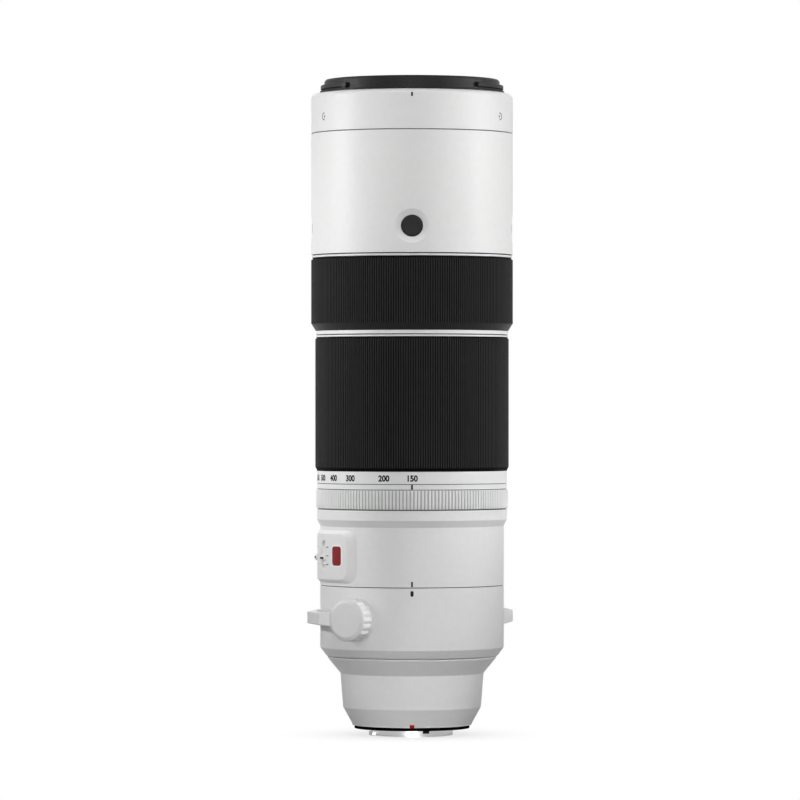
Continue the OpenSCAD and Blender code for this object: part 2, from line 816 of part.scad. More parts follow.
// One blade with its pivot pin below and its drive pin above.
module iris_blade(i) {
  z = blade_z + i * blade_step;
  color([0.16, 0.16, 0.17])
    rotate([0, 0, i * blade_angle]) {
      translate([0, 0, z])
        linear_extrude(height = blade_t) {
          intersection() {
            difference() {
              circle(r = iris_open_r + 6.8);
              circle(r = iris_open_r);
            }
            polygon([[0, 0], polar(60, -14), polar(60, 20), polar(60, 60), polar(60, 95)]);
          }
          intersection() {
            difference() {
              circle(r = pivot_r + 1.6);
              circle(r = iris_open_r + 5);
            }
            polygon([[0, 0], polar(60, -15.5), polar(60, 3.5)]);
          }
        }
      translate([pivot_p[0], pivot_p[1], iris_z + 1]) cylinder(r = iris_pin_r, h = z - iris_z - 1 + blade_t / 2);
      translate([drive_p[0], drive_p[1], z + blade_t / 2]) cylinder(r = iris_pin_r, h = drive_z + 1.2 - z - blade_t / 2);
    }
}

module iris_blade_1() {
  iris_blade(0);
}

module iris_blade_2() {
  iris_blade(1);
}

module iris_blade_3() {
  iris_blade(2);
}

module iris_blade_4() {
  iris_blade(3);
}

module iris_blade_5() {
  iris_blade(4);
}

module iris_blade_6() {
  iris_blade(5);
}

module iris_blade_7() {
  iris_blade(6);
}

// Fixed tube with three straight slots that keep the zoom cells from turning.
module guide_tube() {
  slot_w = cam_pin_d + 0.5;
  low = comp_z - pin_r - 1;
  high = vari_z + pin_r + 1;
  color([0.3, 0.3, 0.32])
    difference() {
      turned([
        [guide_in_r, iris_top], [guide_out_r, iris_top], [guide_out_r, guide_top - 2.5],
        [tube_in_r - fit_gap, guide_top - 2.5], [tube_in_r - fit_gap, guide_top], [guide_in_r, guide_top]
      ]);
      for (i = [0 : 2])
        rotate([0, 0, 120 * i]) translate([guide_in_r - 2, -slot_w / 2, low]) cube([6, slot_w, high - low]);
    }
}

// A helical slot through the cam sleeve that carries a pin from z by travel while the sleeve turns.
module cam_slot(z, travel) {
  run = abs(travel);
  over = pin_r + 0.4;
  lead = zoom_turn / run;
  slope = cam_out_r * zoom_turn * PI / 180 / run;
  half = (pin_r + 0.35) * sqrt(1 + slope * slope);
  sign = travel > 0 ? -1 : 1;
  low = travel > 0 ? z : z - run;
  start = travel > 0 ? 0 : -zoom_turn;
  translate([0, 0, low - over])
    rotate([0, 0, start - sign * lead * over])
      linear_extrude(height = run + 2 * over, twist = -sign * lead * (run + 2 * over), slices = 24, $fn = 4)
        translate([cam_in_r - 1, -half]) square([4, 2 * half]);
}

// Cam sleeve with three slots for each zoom cell, and the key that the zoom ring drives.
module cam_sleeve() {
  color([0.5, 0.5, 0.52]) {
    difference() {
      tube(cam_out_r, cam_in_r, iris_top + 0.3, guide_top - 2.8);
      for (i = [0 : 2])
        rotate([0, 0, 120 * i]) {
          cam_slot(vari_z, -variator_travel);
          cam_slot(comp_z, compensator_travel);
        }
    }
    outward(180, scale_top - 2.5) translate([0, 0, cam_out_r - 0.6]) cylinder(r = 2.4, h = ring_in_r + 1 - cam_out_r + 0.6);
  }
}

// A zoom cell: ring with a lens seat and three cam pins.
module zoom_cell(z, lens_r, h) {
  difference() {
    union() {
      translate([0, 0, z - h / 2]) cylinder(r = cell_r, h = h);
      for (i = [0 : 2])
        rotate([0, 0, 120 * i]) translate([cell_r - 3, 0, z]) rotate([0, 90, 0]) cylinder(r = pin_r, h = cam_out_r - 0.25 - cell_r + 3);
    }
    translate([0, 0, z - h / 2 + 1.5]) cylinder(r = lens_r + fit_gap, h = h);
    translate([0, 0, z - h]) cylinder(r = lens_r - 1.2, h = 2 * h);
  }
}

module variator_cell() {
  color([0.2, 0.2, 0.22]) zoom_cell(vari_z, 24, 11);
}

module variator_lens() {
  z = vari_z - 5.5 + 1.5;
  color([0.55, 0.7, 0.75]) element(24, z, z + 7.5, -110, -90);
}

module compensator_cell() {
  color([0.2, 0.2, 0.22]) zoom_cell(comp_z, 22, 10);
}

module compensator_lens() {
  z = comp_z - 5 + 1.5;
  color([0.55, 0.7, 0.75]) element(22, z, z + 6, 120, 0);
}

// A focus button: round cap held from inside by its wider foot.
module button(phi) {
  color([0.1, 0.1, 0.1])
    outward(phi, button_z) {
      translate([0, 0, button_base]) cylinder(r = button_d / 2, h = front_r - 0.9 - button_base);
      translate([0, 0, front_r - 0.9]) cylinder(r1 = button_d / 2, r2 = button_d / 2 - 0.6, h = 0.4);
      translate([0, 0, button_base]) cylinder(r = button_d / 2 + 0.9, h = 1.2);
    }
}

module button_front() {
  button(0);
}

module button_left() {
  button(90);
}

module button_back() {
  button(180);
}

module button_right() {
  button(270);
}

// A strap lug: bridge over the collar, open along the axis.
module strap_lug(phi) {
  side(phi)
    difference() {
      translate([0, 0, collar_mid - 3.9])
        linear_extrude(height = 7.8)
          difference() {
            polygon([[-12.5, -(main_r - 3.2)], [-9.2, -(main_r + 5.9)], [9.2, -(main_r + 5.9)], [12.5, -(main_r - 3.2)]]);
            polygon([[-7.6, -(main_r - 2.4)], [-6.6, -(main_r + 3.5)], [6.6, -(main_r + 3.5)], [7.6, -(main_r - 2.4)]]);
          }
      translate([0, 0, collar_mid - 10]) cylinder(r = main_r - 0.4, h = 20);
      for (s = [0, 1])
        translate([0, -main_r, collar_mid])
          mirror([0, 0, s]) translate([-20, 0, 3.9]) rotate([14, 0, 0]) translate([0, -12, 0]) cube([40, 12, 6]);
    }
}

// Turning tripod collar with its foot boss, strap lugs and the seats of the clamp.
module tripod_collar() {
  boss_y = main_r + 7.4;
  color([0.86, 0.86, 0.85])
    difference() {
      union() {
        turned([
          [collar_bore_r, collar_z], [collar_bore_r + 1.7, collar_z], [main_r, collar_z + 3.9],
          [main_r, collar_top], [collar_bore_r, collar_top]
        ]);
        translate([0, 0, collar_z + collar_h / 2 + 1.8])
          rotate([-90, 0, 0]) translate([0, 0, collar_bore_r]) linear_extrude(height = boss_y - collar_bore_r) rounded_rect(34, 26, 5);
        outward(knob_phi, knob_z) translate([0, 0, main_r - 2]) cylinder(r = knob_d / 2 - 0.9, h = 2.3);
        strap_lug(lug_phi);
        strap_lug(lug_phi + 172);
      }
      translate([0, 0, collar_z - 1]) cylinder(r = collar_bore_r, h = collar_h + 2);
      outward(knob_phi, knob_z) {
        cylinder(r = 2.5 + fit_gap, h = main_r + 4);
        cylinder(r = 3.6, h = collar_bore_r + 2.6);
      }
      for (s = [-1, 1])
        translate([s * 10, boss_y - 8, collar_mid]) rotate([-90, 0, 0]) cylinder(r = 2 + fit_gap, h = 10);
    }
}

// Removable foot with a dovetail rail and two tripod threads.
module tripod_foot() {
  boss_y = main_r + 7.4;
  neck = foot_drop - 9 - boss_y;
  rail_z = collar_mid + 8;
  color([0.86, 0.86, 0.85])
    difference() {
      union() {
        translate([0, boss_y, collar_mid])
          rotate([-90, 0, 0]) linear_extrude(height = 3) rounded_rect(34, 26, 5);
        translate([0, boss_y + 2, collar_mid])
          rotate([-90, 0, 0]) linear_extrude(height = neck) rounded_rect(28, 22, 5);
        translate([0, 0, rail_z - foot_l / 2])
          linear_extrude(height = foot_l)
            polygon([
              [-foot_w / 2, foot_drop], [-foot_w / 2, foot_drop - 2], [-foot_w / 2 + 2.6, foot_drop - 4.6],
              [-foot_w / 2 + 2.6, foot_drop - 9], [foot_w / 2 - 2.6, foot_drop - 9], [foot_w / 2 - 2.6, foot_drop - 4.6],
              [foot_w / 2, foot_drop - 2], [foot_w / 2, foot_drop]
            ]);
      }
      for (s = [-1, 1])
        translate([s * 10, 0, collar_mid])
          rotate([-90, 0, 0]) {
            translate([0, 0, boss_y - 1]) cylinder(r = 2 + fit_gap, h = foot_drop);
            translate([0, 0, boss_y + 6]) cylinder(r = 3.5 + 0.3, h = foot_drop);
          }
      translate([0, foot_drop - 7.5, rail_z + foot_l / 2 - 29]) rotate([-90, 0, 0]) cylinder(d = tripod_small_d, h = 8);
      translate([0, foot_drop - 7.5, rail_z + foot_l / 2 - 13]) rotate([-90, 0, 0]) cylinder(d = tripod_large_d, h = 8);
    }
}

// Two socket screws that hold the foot to the collar.
module foot_screws() {
  boss_y = main_r + 7.4;
  color([0.25, 0.25, 0.27])
    for (s = [-1, 1])
      translate([s * 10, 0, collar_mid])
        rotate([-90, 0, 0])
          difference() {
            union() {
              translate([0, 0, boss_y - 7.5]) cylinder(r = 2, h = 14);
              translate([0, 0, boss_y + 6]) cylinder(r = 3.5, h = 4);
            }
            translate([0, 0, boss_y + 7.6]) cylinder(r = 1.7, h = 4, $fn = 6);
          }
}

// Fluted clamp knob with its screw.
module clamp_knob() {
  r = knob_d / 2;
  z0 = main_r + 0.5;
  color([0.86, 0.86, 0.85])
    outward(knob_phi, knob_z) {
      difference() {
        translate([0, 0, z0])
          turned([
            [0, 0], [r, 0], [r, 1], [r - 0.5, 1.2], [r - 0.5, 1.6], [r, 1.8], [r, 7], [r - 0.4, 8.1],
            [r - 1.2, 8.9], [r - 2.2, 9.2], [0, 9.2]
          ]);
        for (i = [0 : knob_flutes - 1])
          rotate([0, 0, (i + 0.5) * 360 / knob_flutes]) translate([r + 0.8, 0, z0 + 1.4]) cylinder(r = 1.7, h = 6.5);
      }
      translate([0, 0, collar_bore_r + 1.6]) cylinder(r = 2.5, h = z0 + 1 - collar_bore_r - 1.6);
    }
}

// Brass pad that the screw presses against the sleeve.
module clamp_pad() {
  color([0.75, 0.6, 0.25])
    outward(knob_phi, knob_z) translate([0, 0, collar_bore_r + 0.05]) cylinder(r = 3.4, h = 1.5);
}

hood_ring();
front_retainer();
front_cap();
front_barrel();
front_cell();
front_elements();
frame_tube();
focus_ring();
focus_rubber();
spacer_ring();
zoom_ring();
zoom_rubber();
index_ring();
aperture_ring();
main_barrel();
switch_panel();
limit_switch();
preset_switch();
rear_barrel();
lens_mount();
mount_seal();
mount_screws();
contact_block();
contact_pins();
rear_baffle();
rear_cell();
rear_lens();
ois_base();
ois_slider();
ois_cell();
ois_lens();
focus_rods();
focus_magnets();
focus_cell();
focus_lens();
focus_coil();
iris_housing();
iris_drive_ring();
iris_blade_1();
iris_blade_2();
iris_blade_3();
iris_blade_4();
iris_blade_5();
iris_blade_6();
iris_blade_7();
guide_tube();
cam_sleeve();
variator_cell();
variator_lens();
compensator_cell();
compensator_lens();
button_front();
button_left();
button_back();
button_right();
tripod_collar();
tripod_foot();
foot_screws();
clamp_knob();
clamp_pad();
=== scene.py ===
# %% [markdown]
# # A white telephoto zoom lens, standing on its mount
# The solids come packed from the CAD model, in metres. The origin is the centre of the mount's flange
# face, +Z runs along the optical axis to the front glass, and the index marks face -Y, where the camera
# is. Everything the eye meets is made again here with finer edges, and the inner mechanism keeps its
# solids.

# %% Load the solids
import math

import bmesh
import bpy
from mathutils import Matrix, Vector


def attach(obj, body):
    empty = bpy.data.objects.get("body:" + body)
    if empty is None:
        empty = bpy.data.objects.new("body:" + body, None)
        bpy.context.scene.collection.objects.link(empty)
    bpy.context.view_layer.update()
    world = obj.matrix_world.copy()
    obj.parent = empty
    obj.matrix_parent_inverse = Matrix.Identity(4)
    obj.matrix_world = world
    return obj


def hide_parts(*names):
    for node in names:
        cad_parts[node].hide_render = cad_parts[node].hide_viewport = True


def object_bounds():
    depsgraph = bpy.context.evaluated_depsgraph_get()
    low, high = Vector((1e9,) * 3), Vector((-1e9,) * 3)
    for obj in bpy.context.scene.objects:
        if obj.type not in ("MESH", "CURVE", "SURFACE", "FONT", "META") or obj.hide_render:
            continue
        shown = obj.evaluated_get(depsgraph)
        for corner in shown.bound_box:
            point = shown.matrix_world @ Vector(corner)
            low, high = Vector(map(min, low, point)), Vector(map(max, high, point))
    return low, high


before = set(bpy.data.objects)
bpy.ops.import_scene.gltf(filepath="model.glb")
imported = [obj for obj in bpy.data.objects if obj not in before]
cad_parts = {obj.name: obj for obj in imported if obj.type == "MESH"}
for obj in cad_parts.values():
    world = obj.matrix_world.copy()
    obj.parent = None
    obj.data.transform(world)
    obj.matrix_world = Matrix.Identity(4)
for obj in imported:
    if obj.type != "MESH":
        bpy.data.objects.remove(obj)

solids_low, solids_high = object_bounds()
MM = 0.001


def in_mm(corner):
    """A corner of a box in millimetres, for printing."""
    return [round(c / MM, 2) for c in corner]


print("solids stand from", in_mm(solids_low), "to", in_mm(solids_high), "mm")

# %% [markdown]
# ## The camera first
# A product picture of something this long is taken from far away with a long lens, so the cylinders stay
# straight and the ellipses stay nearly flat. The camera stands level, two and a half metres off. The
# shift slides the picture sideways without tilting the camera, as a view camera's rising front does.

# %% Camera
def stand_camera(distance, height, focal, shift_x, shift_y):
    """A level camera in front of the index marks, looking along +Y."""
    data = bpy.data.cameras.new("studio_camera")
    data.lens = focal
    data.sensor_width = 36
    data.shift_x = shift_x
    data.shift_y = shift_y
    data.clip_start = 0.05
    camera = bpy.data.objects.new("studio_camera", data)
    camera.location = (0, -distance, height)
    camera.rotation_euler = (math.radians(90), 0, 0)
    bpy.context.scene.collection.objects.link(camera)
    bpy.context.scene.camera = camera
    return camera


studio_camera = stand_camera(distance=2.493, height=0.1568, focal=230.8, shift_x=-0.015, shift_y=0.006)
bpy.context.scene.view_settings.view_transform = "Standard"
print("camera at", list(studio_camera.location), "with a", round(studio_camera.data.lens), "mm lens")

# %% [markdown]
# ## Finishes
# A finish could be one flat colour, but real paint, rubber and metal are never that even. Each finish
# here mixes two close colours in soft patches, lets the roughness follow the same patches, and raises a
# fine grain that catches the light at the edges. All of it hangs on object coordinates, so the grain
# keeps one size in millimetres on every piece.

# %% One recipe for every solid finish
def finish(name, dark, light, patch, rough, grain, height, metallic=0.0, gloss=0.5):
    """Dark to light colours in patches, roughness between two values, and a grain; millimetres."""
    material = bpy.data.materials.new(name)
    material.use_nodes = True
    nodes = material.node_tree.nodes
    links = material.node_tree.links
    surface = nodes["Principled BSDF"]
    surface.inputs["Metallic"].default_value = metallic
    surface.inputs["Specular IOR Level"].default_value = gloss
    place = nodes.new("ShaderNodeTexCoord")
    patches = nodes.new("ShaderNodeTexNoise")
    patches.inputs["Scale"].default_value = 1000 / patch
    patches.inputs["Detail"].default_value = 3
    links.new(place.outputs["Object"], patches.inputs["Vector"])
    tint = nodes.new("ShaderNodeValToRGB")
    tint.color_ramp.elements[0].position = 0.3
    tint.color_ramp.elements[0].color = (*dark, 1)
    tint.color_ramp.elements[1].position = 0.7
    tint.color_ramp.elements[1].color = (*light, 1)
    links.new(patches.outputs["Fac"], tint.inputs["Fac"])
    links.new(tint.outputs["Color"], surface.inputs["Base Color"])
    polish = nodes.new("ShaderNodeMapRange")
    polish.inputs["From Min"].default_value = 0.3
    polish.inputs["From Max"].default_value = 0.7
    polish.inputs["To Min"].default_value = rough[0]
    polish.inputs["To Max"].default_value = rough[1]
    links.new(patches.outputs["Fac"], polish.inputs["Value"])
    links.new(polish.outputs["Result"], surface.inputs["Roughness"])
    grains = nodes.new("ShaderNodeTexNoise")
    grains.inputs["Scale"].default_value = 1000 / grain
    grains.inputs["Detail"].default_value = 2
    links.new(place.outputs["Object"], grains.inputs["Vector"])
    relief = nodes.new("ShaderNodeBump")
    relief.inputs["Strength"].default_value = 1
    relief.inputs["Distance"].default_value = height * MM
    links.new(grains.outputs["Fac"], relief.inputs["Height"])
    links.new(relief.outputs["Normal"], surface.inputs["Normal"])
    return material


print("every solid finish uses", finish.__name__)

# %% [markdown]
# ## Paint, plastic and rubber
# The barrel is metal under a matt white paint with a very fine texture, so heat from the sun stays out.
# The grips are moulded rubber. Their crests are lighter than the valleys, partly as wear and partly as
# painted shade: the valleys are painted darker than the rubber. That could be two materials, but one
# that measures the distance from the axis changes softly from valley to crest. The hood bayonet is a
# glass-filled plastic, darker and a little satin.

# %% Painted and moulded finishes
white_paint = finish(
    "white_paint", (0.785, 0.785, 0.782), (0.805, 0.805, 0.802), 3, (0.44, 0.5), 0.3, 0.004, gloss=0.3
)
white_plastic = finish(
    "white_plastic", (0.77, 0.77, 0.767), (0.79, 0.79, 0.787), 2.5, (0.38, 0.46), 0.3, 0.003, gloss=0.3
)
black_plastic = finish(
    "black_plastic", (0.012, 0.012, 0.0125), (0.017, 0.017, 0.0175), 3, (0.42, 0.54), 0.3, 0.008, gloss=0.13
)
black_alloy = finish(
    "black_alloy", (0.012, 0.012, 0.013), (0.02, 0.02, 0.021), 5, (0.45, 0.6), 0.25, 0.006, gloss=0.3
)
blade_black = finish("blade_black", (0.014, 0.014, 0.015), (0.022, 0.022, 0.023), 6, (0.35, 0.5), 0.2, 0.003)
mark_black = finish(
    "mark_black", (0.005, 0.005, 0.005), (0.009, 0.009, 0.009), 1.5, (0.5, 0.6), 0.1, 0.002, gloss=0.1
)
mark_grey = finish("mark_grey", (0.14, 0.14, 0.14), (0.18, 0.18, 0.18), 1.5, (0.4, 0.5), 0.1, 0.002)
mark_red = finish(
    "mark_red", (0.42, 0.012, 0.003), (0.48, 0.016, 0.004), 1.2, (0.4, 0.5), 0.1, 0.002, gloss=0.1
)
pale_enamel = finish("pale_enamel", (0.93, 0.93, 0.93), (0.95, 0.95, 0.95), 2, (0.2, 0.3), 0.1, 0.001)
badge_red = finish(
    "badge_red", (0.2, 0.008, 0.012), (0.25, 0.012, 0.016), 2.5, (0.3, 0.4), 0.15, 0.002, gloss=0.15
)
print("paint and plastic ready:", white_paint.name, black_plastic.name, mark_red.name)

# %% Ribs that change from valley to crest
def shaded_valleys(material, valley, crest, colour):
    """Blends a finish to another colour between two radii in millimetres from the axis; the valleys get
    painted shade.
    """
    nodes = material.node_tree.nodes
    links = material.node_tree.links
    surface = nodes["Principled BSDF"]
    place = nodes["Texture Coordinate"]
    flat = nodes.new("ShaderNodeVectorMath")
    flat.operation = "MULTIPLY"
    flat.inputs[1].default_value = (1, 1, 0)
    links.new(place.outputs["Object"], flat.inputs[0])
    reach = nodes.new("ShaderNodeVectorMath")
    reach.operation = "LENGTH"
    links.new(flat.outputs["Vector"], reach.inputs[0])
    valley_to_crest = nodes.new("ShaderNodeMapRange")
    valley_to_crest.inputs["From Min"].default_value = valley * MM
    valley_to_crest.inputs["From Max"].default_value = crest * MM
    links.new(reach.outputs["Value"], valley_to_crest.inputs["Value"])
    shade_blend = nodes.new("ShaderNodeMix")
    shade_blend.data_type = "RGBA"
    shade_blend.inputs["B"].default_value = (*colour, 1)
    links.new(valley_to_crest.outputs["Result"], shade_blend.inputs["Factor"])
    links.new(nodes["Color Ramp"].outputs["Color"], shade_blend.inputs["A"])
    links.new(shade_blend.outputs["Result"], surface.inputs["Base Color"])
    return material


# The rubber's near-black valley colour is painted shade; the lighter crest colour is the worn rubber.
SHADED_VALLEY_RUBBER = ((0.001, 0.001, 0.001), (0.002, 0.002, 0.002), 4, (0.55, 0.68), 0.25, 0.01, 0, 0.03)
CREST_RUBBER = (0.035, 0.035, 0.0355)
focus_grip_rubber = shaded_valleys(finish("focus_grip_rubber", *SHADED_VALLEY_RUBBER), 48.7, 48.98, CREST_RUBBER)
zoom_grip_rubber = shaded_valleys(finish("zoom_grip_rubber", *SHADED_VALLEY_RUBBER), 46.7, 46.98, CREST_RUBBER)
# The aperture ring's flutes are painted grey in their valleys as shade; the crests keep the white paint's own
# colour.
SHADED_VALLEY_PAINT = ((0.42, 0.42, 0.418), (0.44, 0.44, 0.438), 3, (0.44, 0.5), 0.3, 0.004, 0, 0.3)
shaded_fluted_paint = shaded_valleys(finish("shaded_fluted_paint", *SHADED_VALLEY_PAINT), 45.8, 46.45, (0.795, 0.795, 0.792))
seal_rubber = finish(
    "seal_rubber", (0.002, 0.002, 0.002), (0.004, 0.004, 0.004), 3, (0.6, 0.75), 0.2, 0.01, gloss=0.0
)
print("rubber ready:", focus_grip_rubber.name, zoom_grip_rubber.name, seal_rubber.name)

# %% [markdown]
# ## Metals and glass
# The bayonet is brass under a satin chrome, turned on a lathe, so its grain is low. The contacts are gold
# plated. The glass has a thin anti-reflection film, and the shader has a film of its own: about a quarter
# of a wave thick, it takes most of the reflection away and leaves a violet tint, which is what gives a
# lens its colour.

# %% Metal finishes
chromed_mount = finish(
    "chromed_mount", (0.78, 0.78, 0.785), (0.83, 0.83, 0.835), 12, (0.3, 0.36), 0.2, 0.0008, metallic=1.0
)
bare_alloy = finish(
    "bare_alloy", (0.5, 0.5, 0.51), (0.58, 0.58, 0.59), 6, (0.3, 0.42), 0.2, 0.004, metallic=1.0
)
steel = finish("steel", (0.48, 0.48, 0.49), (0.56, 0.56, 0.57), 4, (0.22, 0.32), 0.2, 0.003, metallic=1.0)
magnet = finish("magnet", (0.42, 0.42, 0.43), (0.5, 0.5, 0.5), 5, (0.25, 0.38), 0.25, 0.004, metallic=1.0)
copper_coil = finish(
    "copper_coil", (0.5, 0.2, 0.09), (0.62, 0.26, 0.12), 0.8, (0.28, 0.4), 0.15, 0.02, metallic=1.0
)
gold_contact = finish(
    "gold_contact", (0.72, 0.5, 0.18), (0.82, 0.6, 0.24), 1.2, (0.16, 0.26), 0.12, 0.003, metallic=1.0
)
brass_pad = finish(
    "brass_pad", (0.55, 0.4, 0.15), (0.64, 0.48, 0.2), 3, (0.3, 0.42), 0.2, 0.004, metallic=1.0
)
print("metals ready:", chromed_mount.name, gold_contact.name)

# %% Coated glass
coated_glass = finish("coated_glass", (0.94, 0.97, 0.95), (0.97, 0.98, 0.98), 30, (0.0, 0.015), 5, 0.0002)
glass_surface = coated_glass.node_tree.nodes["Principled BSDF"]
glass_surface.inputs["Transmission Weight"].default_value = 1.0
glass_surface.inputs["IOR"].default_value = 1.75
glass_surface.inputs["Thin Film Thickness"].default_value = 115
glass_surface.inputs["Thin Film IOR"].default_value = 1.38
print("glass film", glass_surface.inputs["Thin Film Thickness"].default_value, "nm")

# %% [markdown]
# ## The solids take their finishes
# Every solid from the CAD model has one material slot with a name from the record. The slot's own flat
# colour is exchanged for the finish of the same name, so the mechanism inside is dressed as well as the
# outside.

# %% Finishes for the solids
FINISHES = {
    "white_paint": white_paint,
    "white_plastic": white_plastic,
    "black_plastic": black_plastic,
    "black_rubber": seal_rubber,
    "black_alloy": black_alloy,
    "bare_alloy": bare_alloy,
    "blade_black": blade_black,
    "coated_glass": coated_glass,
    "chromed_mount": chromed_mount,
    "steel": steel,
    "magnet": magnet,
    "copper_coil": copper_coil,
    "gold_contact": gold_contact,
    "brass_pad": brass_pad,
}
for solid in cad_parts.values():
    for place in solid.material_slots:
        place.material = FINISHES[place.material.name.split(".")[0]]
print(len(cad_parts), "solids dressed in", len(FINISHES), "finishes")

# %% [markdown]
# ## Turning on the lathe
# Nearly everything here is round about the optical axis, and on the real lens it is turned metal.
# Blender's lathe is the spin operator: a few points in the plane of the axis, swept once round. The start
# and end meet, so the spin merges them. Corners are then eased with a small bevel, because a bright line
# along an edge is what tells the eye that a thing is machined.

# %% Lathe, bevel and fitting
ROUND = 256


def turned(outline, steps=ROUND, closed=True):
    """Sweeps (radius, height) points in millimetres once round the Z axis."""
    mesh = bmesh.new()
    points = [mesh.verts.new((r * MM, 0, z * MM)) for r, z in outline]
    follow = points[1:] + points[:1] if closed else points[1:]
    lines = [mesh.edges.new(pair) for pair in zip(points, follow)]
    bmesh.ops.spin(
        mesh, geom=points + lines, cent=(0, 0, 0), axis=(0, 0, 1), angle=math.tau, steps=steps, use_merge=True
    )
    return cleaned(mesh)


def cleaned(mesh):
    """Merges doubled points and turns every face outwards."""
    bmesh.ops.remove_doubles(mesh, verts=mesh.verts, dist=0.0005 * MM)
    bmesh.ops.recalc_face_normals(mesh, faces=mesh.faces)
    return mesh


def eased(mesh, width, limit=28, segments=2):
    """Bevels every corner sharper than the limit in degrees."""
    corners = [e for e in mesh.edges if e.is_manifold and e.calc_face_angle() > math.radians(limit)]
    bmesh.ops.bevel(
        mesh, geom=corners, offset=width * MM, offset_type="OFFSET", affect="EDGES", segments=segments,
        profile=0.5, material=-1, clamp_overlap=True
    )
    return cleaned(mesh)


def fitted(name, mesh, body, slot, look, *nodes, smooth=32):
    """Makes the mesh a piece that rides on a body, takes a finish and stands for the named solids."""
    data = bpy.data.meshes.new(name)
    mesh.to_mesh(data)
    mesh.free()
    data.shade_smooth()
    data.set_sharp_from_angle(angle=math.radians(smooth))
    data.materials.append(look)
    piece = bpy.data.objects.new(name, data)
    bpy.context.scene.collection.objects.link(piece)
    even = piece.modifiers.new("even_shading", "WEIGHTED_NORMAL")
    even.keep_sharp = True
    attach(piece, body)
    if nodes:
        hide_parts(*nodes)
    print(name, len(data.polygons), "faces on", body)
    return piece


print("a full turn has", ROUND, "steps")

# %% [markdown]
# ## Front cap
# The white ring round the front glass has a full, rounded front edge. It could be a cylinder with a
# bevel, but the rounding is not a quarter circle: it runs out long and flat towards the hood, so its
# points are given one by one.

# %% Front cap
cap = turned([
    (48.95, 288.57), (48.95, 305.5), (48.88, 306.0), (48.65, 306.5), (48.2, 307.0), (47.5, 307.4),
    (46.6, 307.65), (45.9, 307.8), (45.25, 307.8), (45.25, 292.4), (48.25, 292.4), (48.25, 288.57)
])
fitted("front_cap_shell", eased(cap, 0.22, 40), "barrel", "white_paint", white_paint, "front_cap")

# %% [markdown]
# ## Hood bayonet
# The dark ring in front takes the lens hood: two long lugs with a slot under them, and a stop at the end
# of each slot. The ring is turned, with the filter thread as a row of fine grooves in its bore. A lug is
# a bar that runs only part of the way round, so its section is spun through part of a turn and its two
# ends are closed.

# %% Part-turn bars
def arc_bar(outline, start, end, steps=40):
    """Sweeps a closed (radius, height) section from one angle to another, counted from -Y towards -X."""
    mesh = bmesh.new()
    first = math.radians(-90 - start)
    across = math.cos(first)
    along = math.sin(first)
    points = [mesh.verts.new((r * MM * across, r * MM * along, z * MM)) for r, z in outline]
    section = mesh.faces.new(points)
    bmesh.ops.spin(
        mesh, geom=[section], cent=(0, 0, 0), axis=(0, 0, 1), angle=-math.radians(end - start), steps=steps
    )
    bmesh.ops.holes_fill(mesh, edges=[e for e in mesh.edges if e.is_boundary], sides=0)
    return cleaned(mesh)


def joined(*meshes):
    """Puts several meshes into the first one."""
    whole = meshes[0]
    for part in meshes[1:]:
        carrier = bpy.data.meshes.new("carrier")
        part.to_mesh(carrier)
        part.free()
        whole.from_mesh(carrier)
        bpy.data.meshes.remove(carrier)
    return whole


print("part-turn bars run from", arc_bar.__name__)

# %% Hood ring
thread = [point for i in range(5) for point in ((41.0, 314.0 - 0.75 * i), (41.32, 313.63 - 0.75 * i))]
hood = eased(turned([
    (44.8, 298.2), (44.8, 308.1), (44.65, 308.25), (44.65, 308.5), (44.8, 308.65), (44.8, 308.95),
    (42.7, 308.95), (42.7, 309.9), (42.6, 309.9), (42.6, 313.6), (41.9, 314.5), (41.0, 314.5), *thread,
    (41.0, 310.1), (40.3, 310.1), (40.3, 306.2), (43.7, 306.2), (43.7, 298.2)
]), 0.12, 50)
lugs = []
for turn in (0, 180):
    lug = [(42.3, 309.75), (44.4, 309.75), (44.4, 311.5), (44.1, 311.8), (42.3, 311.8)]
    stop = [(42.2, 308.8), (44.25, 308.8), (44.25, 310.1), (42.2, 310.1)]
    lugs.append(eased(arc_bar(lug, 46 + turn, 134 + turn, 64), 0.18, 40))
    lugs.append(eased(arc_bar(stop, 46.6 + turn, 50 + turn, 6), 0.15, 40))
fitted("hood_bayonet", joined(hood, *lugs), "barrel", "black_plastic", black_plastic, "hood_ring")

# %% [markdown]
# ## Front barrel and its four dishes
# Each focus button lies in a shallow round dish, so a finger finds it without looking. The dish is round
# although the barrel is curved, so its cutter is bent with the barrel before it is taken away with a
# Boolean. Turning the dish's points by hand in the lathe mesh would leave a ragged edge.

# %% Facing a place on the barrel
def facing(phi, radius, height):
    """The frame of a place on the barrel: X to the right as one looks at it, Y up, Z outwards."""
    angle = math.radians(phi)
    out = Vector((-math.sin(angle), -math.cos(angle), 0))
    right = Vector((math.cos(angle), -math.sin(angle), 0))
    turn = Matrix((right, Vector((0, 0, 1)), out)).transposed().to_4x4()
    return Matrix.Translation(out * radius * MM + Vector((0, 0, height * MM))) @ turn


